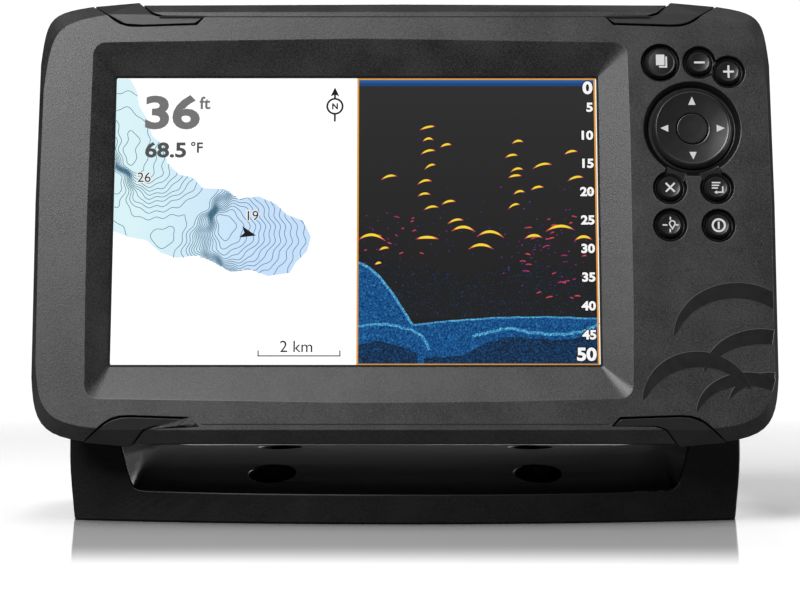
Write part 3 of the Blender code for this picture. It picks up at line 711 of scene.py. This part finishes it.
def blacken_pockets(bezel):
    """The pockets and channels around the keys are polished, and painted near black: painted shade
    for their depth.
    """
    bezel.data.materials.append(MATERIALS["pocket"])
    back = FACE.inverted()
    left, right, low, high = KEYPAD
    for face in bezel.data.polygons:
        x, depth, w = back @ face.center
        if left < x < right and low < w < high and 0.1 < depth < 3.3:
            face.material_index = 1


def make_case():
    blacken_pockets(refined("front_bezel", MATERIALS["shell"], 0.14, 14))
    refined("rear_housing", MATERIALS["shell"], 0.5, 30)
    for node in ("clip_top_left", "clip_top_right", "clip_bottom_left", "clip_bottom_right"):
        refined(node, MATERIALS["trim"], 0.2, 24, shape=tipped)
    make_pattern()
    make_grooves()


def crested(place):
    """The bracket's crest stands a little higher, to leave a thinner slit under the case."""
    spot = FACE @ place
    if abs(spot.x) < 0.09 and 0.0188 < spot.z < 0.0204:
        place.z += 0.6
    return place


def make_bracket():
    bracket = refined("bracket", MATERIALS["bracket_grain"], 0.5, 28, 3,
                      crested)
    mesh = bracket.data
    mesh.materials.append(MATERIALS["bracket_gloss"])
    for face in mesh.polygons:
        side = 1.0 if face.center.x > 0 else -1.0
        inward = face.normal.z > 0.3 or face.normal.x * side < -0.35
        face.material_index = 1 if inward and face.center.z < 0.075 else 0


# ---------------- keys

# Key: place on the face, radius of the crown and of the base
KEYS = {"pages": (80.7, 49.7, 4.5, 5.0), "zoom_out": (93.0, 49.8, 3.2, 3.9),
        "zoom_in": (102.1, 46.7, 3.2, 3.9), "exit": (82.9, 9.3, 3.2, 3.9),
        "menu": (97.6, 9.3, 3.2, 3.9), "waypoint": (82.7, -2.6, 3.2, 3.9),
        "power": (97.75, -2.8, 3.2, 3.9)}
PAD = (90.3, 28.3)
KEY_FOOT = 3.3
KEY_BACK = 4.3
PAD_BORE = 5.6
PAD_SPAN = 5.7                   # how far the pad's dish runs outwards from its bore
PAD_DISH = 0.8
INK = (-0.05, 0.1)               # front and back of a legend, from the key's top


def dished(radius, crown):
    """Height of a small key's hollow top."""
    return -0.22 - 0.26 * min(1.0, radius / (crown - 0.45)) ** 2


def domed(radius, crown):
    """Height of the large key's bulging top."""
    return -0.5 - 0.3 * (1.0 - min(1.0, radius / crown) ** 2)


def key_profile(crown, base, top):
    inner = crown - 0.45
    profile = [(inner * step / 10 + 0.02, top(inner * step / 10, crown)) for step in range(11)]
    edge = profile[-1][1]
    profile += [(crown - 0.2, edge - 0.06), (crown, edge + 0.12), (crown + 0.12, edge + 0.4),
                (base - 0.1, 0.75), (base, 1.1), (base, KEY_FOOT), (base + 0.6, KEY_FOOT),
                (base + 0.6, KEY_BACK)]
    return profile


def make_key(name, place):
    x, w, crown, base = place
    top = domed if name == "pages" else dished
    mesh_piece(name + "_cap", turned(key_profile(crown, base, top), (x, w)), MATERIALS["key"],
               name + "_key_body", replaces=(name + "_key",), smooth=50)
    fitted = []
    for shape in LEGENDS[name]():
        verts = [(x + a, depth + top(math.hypot(a, b), crown), w + b) for a, depth, b in shape[0]]
        fitted.append((verts, shape[1]))
    mesh_piece(name + "_legend", merged(fitted), MATERIALS["legend"], name + "_key_body")


def bar(x, w, width, height):
    return slab(box(x - width / 2, x + width / 2, w - height / 2, w + height / 2), *INK)


def sheet(x, w, width, height, steps=6):
    """A thin rectangle fine enough to follow a curved key."""
    verts, faces = [], []
    for i in range(steps + 1):
        for j in range(steps + 1):
            verts.append((x + width * (i / steps - 0.5), INK[0], w + height * (j / steps - 0.5)))
            if i and j:
                corner = i * (steps + 1) + j
                faces.append((corner, corner - 1, corner - steps - 2, corner - steps - 1))
    return verts, faces


def line(points, width, closed=False):
    return stroke(points, width, *INK, closed)


def pages_legend():
    return [sheet(-0.15, 0.7, 2.7, 3.5), sheet(1.75, 0.25, 0.55, 3.1),
            sheet(0.75, -1.55, 2.55, 0.55)]


def zoom_out_legend():
    return [bar(0.0, -0.1, 3.4, 0.6)]


def zoom_in_legend():
    return [bar(0.0, 0.0, 3.4, 0.62), bar(0.0, 1.17, 0.62, 1.7), bar(0.0, -1.17, 0.62, 1.7)]


def exit_legend():
    reach = 1.4
    return [line([(-reach, -reach), (reach, reach)], 0.55),
            line([(-reach, reach), (-0.2, 0.2)], 0.55), line([(0.2, -0.2), (reach, -reach)], 0.55)]


def menu_legend():
    rows = [bar(-0.35 - 0.2 * row, 1.5 - 0.85 * row, 2.7 - 0.4 * row, 0.4) for row in range(3)]
    head = slab([(-1.0, -1.55), (-0.1, -0.95), (-0.1, -2.15)], *INK)
    return rows + [line([(1.7, 0.3), (1.7, -1.55), (-0.15, -1.55)], 0.42), head]


def waypoint_legend():
    hairs = [bar(0.0, 2.0, 0.42, 0.9), bar(-0.1, -1.9, 0.42, 1.1), bar(-1.7, -0.1, 1.5, 0.42),
             bar(2.05, -0.1, 0.9, 0.42)]
    pin = arc((0.6, 0.4), 0.85, -30, 210, 14) + [(0.6, -1.3)]
    return hairs + [line(pin, 0.38, True)]


def power_legend():
    return [line(circle((0.0, 0.0), 1.9, 36), 0.62, True), bar(0.0, 0.0, 0.6, 2.3)]


LEGENDS = {"pages": pages_legend, "zoom_out": zoom_out_legend, "zoom_in": zoom_in_legend,
           "exit": exit_legend, "menu": menu_legend, "waypoint": waypoint_legend,
           "power": power_legend}


def pad_height(radius):
    """The pad is a dish between its bore and its rim."""
    return -PAD_DISH * ((radius - PAD_BORE) / PAD_SPAN) ** 1.3


def make_pad():
    """The rocking ring with its four arrows, and the enter key in its middle."""
    radii = [PAD_BORE + PAD_SPAN * step / 14 for step in range(15)]
    profile = [(5.15, 3.4), (5.15, 0.12), (5.3, 0.0)]
    profile += [(radius, pad_height(radius)) for radius in radii]
    profile += [(11.5, -0.98), (11.68, -0.9), (11.95, -0.6), (12.4, 0.0), (12.75, 0.6),
                (12.8, 0.9), (7.5, 0.9), (7.5, 3.4)]
    mesh_piece("pad_ring", turned(profile, PAD, 96, True), MATERIALS["key"],
               "cursor_pad_body", replaces=("cursor_pad",), smooth=50)
    arrows = []
    for turn in range(4):
        shape = []
        for out, across in ((10.15, 0.0), (7.6, 1.15), (7.6, -1.15)):
            x, w = rotated(out, across, 90 * turn)
            shape.append((PAD[0] + x, pad_height(math.hypot(out, across)) - 0.03, PAD[1] + w))
        arrows.append((shape, [(0, 1, 2)]))
    mesh_piece("pad_arrows", merged(arrows), MATERIALS["mark"], "cursor_pad_body")
    profile = [(0.02, 0.06), (2.0, 0.04), (3.6, -0.02), (4.5, -0.1), (4.7, -0.1),
               (4.82, -0.02), (4.86, 0.2), (4.86, 3.4), (4.55, 3.5), (4.55, 4.3)]
    mesh_piece("enter_cap", turned(profile, PAD, 72), MATERIALS["key"], "enter_key_body",
               replaces=("enter_key",), smooth=50)


def make_keys():
    for name, place in KEYS.items():
        make_key(name, place)
    make_pad()


# ---------------- the screen's picture

LAYER = 0.02
PANEL_FRONT = 7.0
SPLIT = -14.9                    # where the sonar's half begins
RIGHT = 60.65
TOP = 46.3
BOTTOM = -45.75
OPENING = (-91.64, 60.76, -46.0, 46.0)  # left, right, low and high edge
CHANCE = random.Random(11)


def level(number):
    """Depth of a picture layer; higher numbers lie in front."""
    return PANEL_FRONT - 0.03 - LAYER * number


def flat(outline, layer):
    return [(x, level(layer), w) for x, w in outline], [tuple(range(len(outline)))]


def drawn(points, width, layer, closed=False):
    depth = level(layer)
    return stroke(points, width, depth, depth + LAYER / 4, closed)


def picture(name, shapes, material):
    return mesh_piece(name, merged(shapes), material, "display_unit")


def lettering(text, corner, height, layer, bold=0.0, right=False, grow=0.0, wide=1.0):
    """Characters as flat shapes, `height` tall, from a lower corner."""
    curve = bpy.data.curves.new("letters", "FONT")
    curve.body = text
    curve.offset = bold
    curve.resolution_u = 4
    source = add_object("letters", curve)
    bpy.context.view_layer.update()
    graph = bpy.context.evaluated_depsgraph_get()
    mesh = bpy.data.meshes.new_from_object(source.evaluated_get(graph))
    xs = [v.co.x for v in mesh.vertices]
    ys = [v.co.y for v in mesh.vertices]
    scale = (height + 2 * grow) / (max(ys) - min(ys))
    shift = max(xs) if right else min(xs)
    left = corner[0] + (grow if right else -grow)
    verts = [(left + (v.co.x - shift) * scale * wide, level(layer),
              corner[1] - grow + (v.co.y - min(ys)) * scale) for v in mesh.vertices]
    faces = [tuple(face.vertices) for face in mesh.polygons]
    bpy.data.objects.remove(source)
    return verts, faces


SHORE = [(-92.0, 46.3), (-87.6, 46.3), (-85.4, 42.2), (-84.6, 37.5), (-81.6, 32.5),
         (-80.2, 27.6), (-76.0, 24.2), (-75.4, 19.0), (-71.6, 15.2), (-67.0, 14.0),
         (-63.8, 10.6), (-57.0, 10.4), (-52.6, 7.2), (-46.2, 8.0), (-40.8, 5.6), (-37.4, 2.2),
         (-32.2, 0.2), (-29.6, -5.0), (-30.8, -9.6), (-34.4, -13.4), (-36.2, -16.6),
         (-43.0, -17.6), (-48.4, -15.6), (-54.8, -16.2), (-60.4, -13.0), (-65.2, -11.0),
         (-72.0, -11.8), (-76.8, -10.2), (-81.4, -6.2), (-86.6, -5.2), (-92.0, -3.2)]
# Steep slopes, where depth lines bunch together: middle, direction in degrees, drop
SLOPES = [((-89.4, 16.4), 118, 1.1), ((-60.2, 2.4), 54, 1.35), ((-58.2, -13.0), -36, -0.9)]
LINE_STEP = 0.15
GRID = 0.55


def depth_field(x, w):
    """Depth of the lake, with a slight wobble in every direction."""
    x, w = x + 0.45 * math.sin(1.15 * w) + 0.9 * math.sin(0.37 * w), w + 0.4 * math.sin(1.3 * x)
    total = 0.011 * x - 0.006 * w + 0.1 * math.sin(0.16 * x + 0.9) * math.cos(0.19 * w)
    for (middle_x, middle_w), degrees, drop in SLOPES:
        along, across = rotated(x - middle_x, w - middle_w, -degrees)
        fade = math.exp(-(along ** 2 + across ** 2) / 620.0)
        total += drop * fade * math.tanh(across / math.hypot(1.5, 0.5 * along))
    return total


def inside(outline, x, w):
    hit = False
    for (ax, aw), (bx, bw) in zip(outline, outline[1:] + outline[:1]):
        if (aw > w) != (bw > w) and x < ax + (bx - ax) * (w - aw) / (bw - aw):
            hit = not hit
    return hit


def contour_lines():
    """Depth lines of the field, as short strokes inside the shore."""
    columns, rows = 114, 117
    xs = [-91.8 + GRID * i for i in range(columns)]
    ws = [-17.8 + GRID * j for j in range(rows)]
    values = [[depth_field(x, w) for w in ws] for x in xs]
    shapes = []
    for i in range(columns - 1):
        for j in range(rows - 1):
            if not inside(SHORE, xs[i] + GRID / 2, ws[j] + GRID / 2):
                continue
            corners = [(i, j), (i + 1, j), (i + 1, j + 1), (i, j + 1)]
            for half in ((0, 1, 2), (0, 2, 3)):
                shapes.extend(triangle_lines([corners[k] for k in half], xs, ws, values))
    return shapes


def triangle_lines(corners, xs, ws, values):
    points = [(xs[i], ws[j], values[i][j]) for i, j in corners]
    low = min(p[2] for p in points)
    high = max(p[2] for p in points)
    shapes = []
    for number in range(math.ceil(low / LINE_STEP), math.floor(high / LINE_STEP) + 1):
        cut = number * LINE_STEP
        crossings = []
        for (ax, aw, av), (bx, bw, bv) in zip(points, points[1:] + points[:1]):
            if (av < cut) != (bv < cut):
                share = (cut - av) / (bv - av)
                crossings.append((ax + (bx - ax) * share, aw + (bw - aw) * share))
        if len(crossings) == 2 and math.dist(*crossings) > 0.02:
            shapes.append(drawn(crossings, 0.2, 1))
    return shapes


def make_map():
    """The chart on the left: a pale lake with depth lines, and its readouts."""
    lake = graded("lake_water", [(0.0, srgb(220, 246, 251)), (1.0, srgb(201, 227, 255))], "X",
                  -0.085, -0.045)
    picture("chart_lake", [flat(SHORE, 0)], lake)
    picture("chart_depth_lines", contour_lines(), lit("depth_line_teal", srgb(72, 112, 136)))
    depths = (("26", (-84.6, 12.6), 3.1), ("19", (-49.6, 0.2), 3.1))
    halo = [lettering(*depth, 3, 0.06, grow=0.35) for depth in depths]
    picture("chart_label_halos", halo, lit("label_halo", srgb(245)))
    small = [lettering(*depth, 4) for depth in depths]
    scale = [(-45.8, -41.2), (-45.8, -42.9), (-20.3, -42.9), (-20.3, -41.2)]
    small.append(drawn(scale, 0.35, 4))
    small.append(lettering("2 km", (-39.0, -41.7), 3.6, 4))
    x, w = -22.3, 37.3
    small.append(drawn(circle((x, w), 2.45), 0.6, 4, True))
    small.append(lettering("N", (x - 0.9, w - 1.0), 2.0, 4, 0.04))
    small += [drawn([(x, start), (x, end)], 0.6, 4) for start, end in ((39.7, 41.2), (34.9, 32.3))]
    small.append(flat([(x - 1.4, 40.5), (x, 43.5), (x + 1.4, 40.5), (x, 41.2)], 4))
    boat = [(2.7, 0.0), (-2.3, 1.9), (-1.1, 0.0), (-2.3, -1.9)]
    headed = [rotated(*corner, -14) for corner in boat]
    small.append(flat([(-49.5 + x, -4.0 + w) for x, w in headed], 4))
    picture("chart_marks", small, lit("chart_ink", srgb(32)))
    large = [lettering("36", (-82.6, 29.7), 11.3, 5, 0.032, wide=1.24),
             lettering("ft", (-65.4, 36.3), 4.2, 5, 0.02)]
    picture("depth_readout", large, lit("readout_grey", srgb(118)))
    warm = [lettering("68.5", (-82.4, 20.5), 5.1, 5, 0.03, wide=1.18),
            lettering("°F", (-67.9, 22.1), 3.6, 5, 0.022)]
    picture("temperature_readout", warm, lit("readout_dark", srgb(84)))


def arch(x, w, width, height, lean, thick, layer, start=-1.0, end=1.0):
    """A fish echo: an arched stroke that thins out to both ends."""
    steps = 14
    upper, lower = [], []
    for i in range(steps + 1):
        t = start + (end - start) * i / steps
        middle = w - height * t * t + lean * t
        half = thick / 2 * math.sqrt(max(0.02, 1 - ((t - start) / (end - start) * 2 - 1) ** 2))
        upper.append((x + t * width / 2, middle + half))
        lower.append((x + t * width / 2, middle - half))
    return flat(upper + lower[::-1], layer)


def echo_list():
    """Where the fish echoes are: two columns, a loose row, and some strays."""
    echoes = []
    for column_x, top, count in ((6.5, 30.5, 7), (35.5, 26.0, 6)):
        w = top
        for _ in range(count):
            echoes.append((column_x + CHANCE.uniform(-1.8, 1.8), w, CHANCE.uniform(2.6, 4.6),
                           CHANCE.uniform(0.3, 0.7), CHANCE.uniform(0.2, 0.7), 0.72))
            w -= CHANCE.uniform(2.2, 5.4)
    row = [(-10.5, -4.4, 8.0, 1.6), (7.0, -5.2, 6.6, 0.5), (18.5, -1.9, 6.8, 1.2),
           (27.0, -3.4, 7.8, 1.5), (24.0, -7.6, 7.2, 1.2), (40.5, -4.6, 5.2, 0.8),
           (49.0, -1.6, 8.4, 1.3), (56.2, -5.0, 5.2, 1.0)]
    echoes += [(x, w, width, height, CHANCE.uniform(-0.3, 0.2), 0.9)
               for x, w, width, height in row]
    strays = [(-5.0, 14.6, 4.6), (13.0, 24.8, 3.4), (13.8, 6.4, 4.2), (16.0, 0.4, 4.6),
              (43.5, 18.4, 5.6), (41.8, 11.0, 3.8), (52.6, 22.6, 3.9), (54.0, 14.2, 4.8),
              (57.4, 9.4, 3.6), (-6.6, -8.6, 3.0), (-8.4, -13.4, 2.0)]
    echoes += [(x, w, width, 0.13 * width, 0.11 * width, 0.75) for x, w, width in strays]
    return echoes


def faint_echoes():
    """Short weak echoes in the right half."""
    echoes = []
    for _ in range(26):
        echoes.append((CHANCE.uniform(34, 57), CHANCE.uniform(-25, 2), CHANCE.uniform(0.9, 2.6),
                       CHANCE.uniform(0.05, 0.25), CHANCE.uniform(-0.2, 0.35), 0.42))
    for _ in range(12):
        echoes.append((CHANCE.uniform(-13, 12), CHANCE.uniform(-12, 2), CHANCE.uniform(0.8, 2.0),
                       0.1, CHANCE.uniform(-0.4, 0.4), 0.4))
    return echoes


def specks(count, span_x, span_w, size, layer):
    shapes = []
    for _ in range(count):
        x = CHANCE.uniform(*span_x)
        w = CHANCE.triangular(span_w[0], span_w[1], span_w[0] * 0.65 + span_w[1] * 0.35)
        half = CHANCE.uniform(0.5, 1.0) * size / 2
        shapes.append(flat(box(x - half, x + half, w - half * 0.7, w + half * 0.7), layer))
    return shapes


def through(points, steps=6):
    """A smooth line through the points."""
    line_points = []
    last = len(points) - 1
    for i in range(last):
        before, a = Vector(points[max(0, i - 1)]), Vector(points[i])
        b, after = Vector(points[i + 1]), Vector(points[min(last, i + 2)])
        for step in range(steps):
            t = step / steps
            line_points.append(tuple(0.5 * (2 * a + (b - before) * t
                                            + (2 * before - 5 * a + 4 * b - after) * t * t
                                            + (3 * a - before - 3 * b + after) * t ** 3)))
    return line_points + [tuple(points[-1])]


def jittered(points, amount):
    return [(x, w + CHANCE.uniform(-amount, amount)) for x, w in points]


def make_sonar():
    """The echo picture on the right: water, fish arches and the bottom's return."""
    edge_left, edge_right = SPLIT + 0.2, RIGHT - 0.1
    water = graded("sonar_water", [(0.0, srgb(33)), (1.0, srgb(49))], "Z", 0.055, 0.14)
    picture("sonar_field", [flat(box(edge_left, edge_right, BOTTOM, TOP), 0)], water)
    band = graded("surface_band", [(0.0, srgb(34, 70, 120)), (0.25, srgb(38, 88, 150)),
                                   (1.0, srgb(52, 110, 178))], "Z", 0.1390, 0.1412)
    picture("sonar_surface", [flat(box(edge_left, edge_right, 43.9, TOP), 1)], band)
    haze = [(edge_left, -10.0), (0.0, -14.0), (20.0, -17.0), (36.0, -13.0), (edge_right, -16.0),
            (edge_right, -31.0), (edge_left, -31.0)]
    murk = lit_speckle("sonar_murk", [(0.0, srgb(36)), (0.58, srgb(37)), (0.68, srgb(34, 52, 80)),
                                      (0.8, srgb(40, 84, 130))], 0.5, detail=2.0)
    picture("sonar_haze", [flat(haze, 1)], murk)
    make_bottom(edge_left, edge_right)
    make_echoes()
    make_scale()


def make_bottom(edge_left, edge_right):
    hump = through([(edge_left, -13.2), (-9.5, -16.4), (-4.0, -23.2), (2.4, -33.2)])
    ground = through([(2.4, -33.2), (14.0, -31.9), (30.0, -30.9), (46.0, -30.7),
                      (edge_right, -31.2)])
    outline = hump + ground[1:]
    body = lit_speckle("bottom_echo", [(0.3, srgb(12, 44, 84)), (0.5, srgb(26, 80, 136)),
                                       (0.62, srgb(36, 100, 160)), (0.78, srgb(70, 150, 200))],
                       0.55, detail=3.0)
    picture("bottom_return", [flat(outline + [(edge_right, BOTTOM), (edge_left, BOTTOM)], 2)],
            body)
    deep = through([(6.0, -43.6), (18.0, -42.6), (24.0, -39.4), (34.0, -37.0), (48.0, -37.6),
                    (edge_right, -35.8)])
    left_deep = through([(edge_left, -39.6), (-9.0, -38.4), (-2.0, -39.6), (4.0, -42.4)])
    dark = lit_speckle("bottom_shadow", [(0.36, srgb(30, 34, 40)), (0.5, srgb(24, 48, 78)),
                                         (0.66, srgb(28, 78, 130))], 0.5, detail=3.0)
    picture("bottom_deep", [flat(jittered(deep, 0.35) + [(edge_right, BOTTOM), (6.0, BOTTOM)], 3),
                            flat(jittered(left_deep, 0.3) + [(4.0, BOTTOM), (edge_left, BOTTOM)],
                                 3)], dark)
    glow = lit_speckle("bottom_edge", [(0.36, srgb(34, 98, 156)), (0.5, srgb(62, 146, 196)),
                                       (0.7, srgb(130, 214, 236))], 0.4, detail=2.0)
    edges = [drawn(jittered(hump, 0.12), 0.8, 4), drawn(jittered(ground, 0.1), 0.5, 4)]
    second = through([(edge_left, -33.4), (-8.0, -32.9), (-1.0, -33.9), (5.0, -36.4),
                      (7.5, -41.0)])
    ridge = through([(21.0, -36.6), (26.0, -35.6), (32.0, -34.2), (38.0, -35.2), (47.0, -36.0),
                     (55.0, -35.4), (edge_right, -32.6)])
    edges += [drawn(jittered(second, 0.25), 0.75, 4), drawn(jittered(ridge, 0.25), 0.85, 4)]
    picture("bottom_edges", edges, glow)


def make_echoes():
    strong, weak = echo_list(), faint_echoes()
    tails = [arch(*echo, 5, -1.12, 1.08) for echo in strong] + [arch(*echo, 5) for echo in weak]
    picture("echo_tails", tails, lit_speckle("echo_magenta", [(0.4, srgb(150, 40, 120)),
                                                              (0.6, srgb(225, 80, 70))], 1.2))
    bodies = [arch(*echo, 6, -0.92, 0.9) for echo in strong]
    picture("echo_bodies", bodies, lit("echo_orange", srgb(240, 150, 50)))
    cores = [arch(*echo[:5], echo[5] * 0.86, 7, -0.78, 0.74) for echo in strong]
    picture("echo_cores", cores, lit("echo_yellow", srgb(248, 224, 60)))
    dim = specks(150, (SPLIT + 1, RIGHT - 1), (-30, 34), 0.5, 4)
    picture("sonar_specks_blue", dim, lit("speck_blue", srgb(52, 44, 120)))
    violet = specks(60, (30, RIGHT - 2), (-27, 14), 0.55, 4)
    violet += specks(24, (SPLIT + 1, 14), (-16, 8), 0.5, 4)
    picture("sonar_specks_violet", violet, lit("speck_violet", srgb(122, 40, 130)))


def make_scale():
    """Depth numbers down the right side, each with a dark outline, and a thin frame."""
    numbers, outlines = [], []
    for value in range(0, 55, 5):
        tall = 4.3 if value in (0, 50) else 3.05
        w = TOP - 0.2 - 1.83 * value - tall / 2
        w = min(max(w, BOTTOM + 1.2), TOP - 0.8 - tall)
        corner = (RIGHT - 0.9, w)
        numbers.append(lettering(str(value), corner, tall, 9, 0.04, True, wide=1.12))
        outlines.append(lettering(str(value), corner, tall, 8, 0.09, True, 0.28, 1.12))
    picture("depth_numbers", numbers, lit("number_white", srgb(252)))
    picture("depth_number_outlines", outlines, lit("number_outline", srgb(24)))
    edge = box(SPLIT, RIGHT - 0.3, BOTTOM + 0.1, TOP - 0.1)
    picture("sonar_frame", [drawn(edge, 0.55, 10, True)], lit("frame_orange", srgb(228, 158, 62)))


def make_screen_seal():
    """Painted shade: a thin black line where the recess's slopes meet the screen."""
    left, right, low, high = OPENING
    rings = []
    for grow, depth in ((0.0, 4.4), (0.5, 4.0), (0.5, 4.7), (0.0, 4.7)):
        corners = box(left - grow, right + grow, low - grow, high + grow)
        rings.append([(x, depth, w) for x, w in corners])
    mesh_piece("screen_edge_shade", skin(rings, True), MATERIALS["shadow"], "display_unit")


# ---------------- the rest of the nodes

def make_small_parts():
    """Nodes that keep their shape, with their hard edges rounded."""
    screws = [f"housing_screw_{number}" for number in range(1, 7)]
    groups = [("rubber", "black_rubber", 0.25, ["card_door"]),
              ("rubber", "black_rubber", 0.2, ["vent_plug"]),
              ("rubber", "black_rubber", 0.15, ["friction_washer_left", "friction_washer_right"]),
              ("key", "trim_plastic", 0.25, ["release_button_left", "release_button_right"]),
              ("key", "trim_plastic", 0.2, ["power_socket", "sonar_socket"]),
              ("bracket_grain", "bracket_plastic", 0.3, ["pivot_hub_left", "pivot_hub_right"]),
              ("steel", "sheet_steel", 0.12, screws)]
    for material, slot, bevel, nodes in groups:
        for node in nodes:
            refined(node, MATERIALS[material], bevel)


def paint_nodes():
    finishes = {"key_mat": "rubber", "housing_gasket": "rubber", "buzzer": "key",
                "cursor_gimbal": "trim", "display_lens": "lens", "lcd_frame": "steel",
                "card_reader": "steel", "main_board": "board", "keypad_board": "board",
                "lcd_ribbon": "film", "gps_antenna": "ceramic", "backlight_panel": "diffuser"}
    for node, material in finishes.items():
        paint(node, MATERIALS[material])
    paint("lcd_panel", lit_speckle("panel_white", [(0.0, grey(0.98)), (1.0, grey(1.0))], 20.0,
                                   1.12))


make_camera()
make_world()
floor = make_floor()
light_floor(floor)
make_lights()
make_case()
make_bracket()
make_keys()
make_map()
make_sonar()
make_screen_seal()
make_small_parts()
paint_nodes()
light_back(floor)
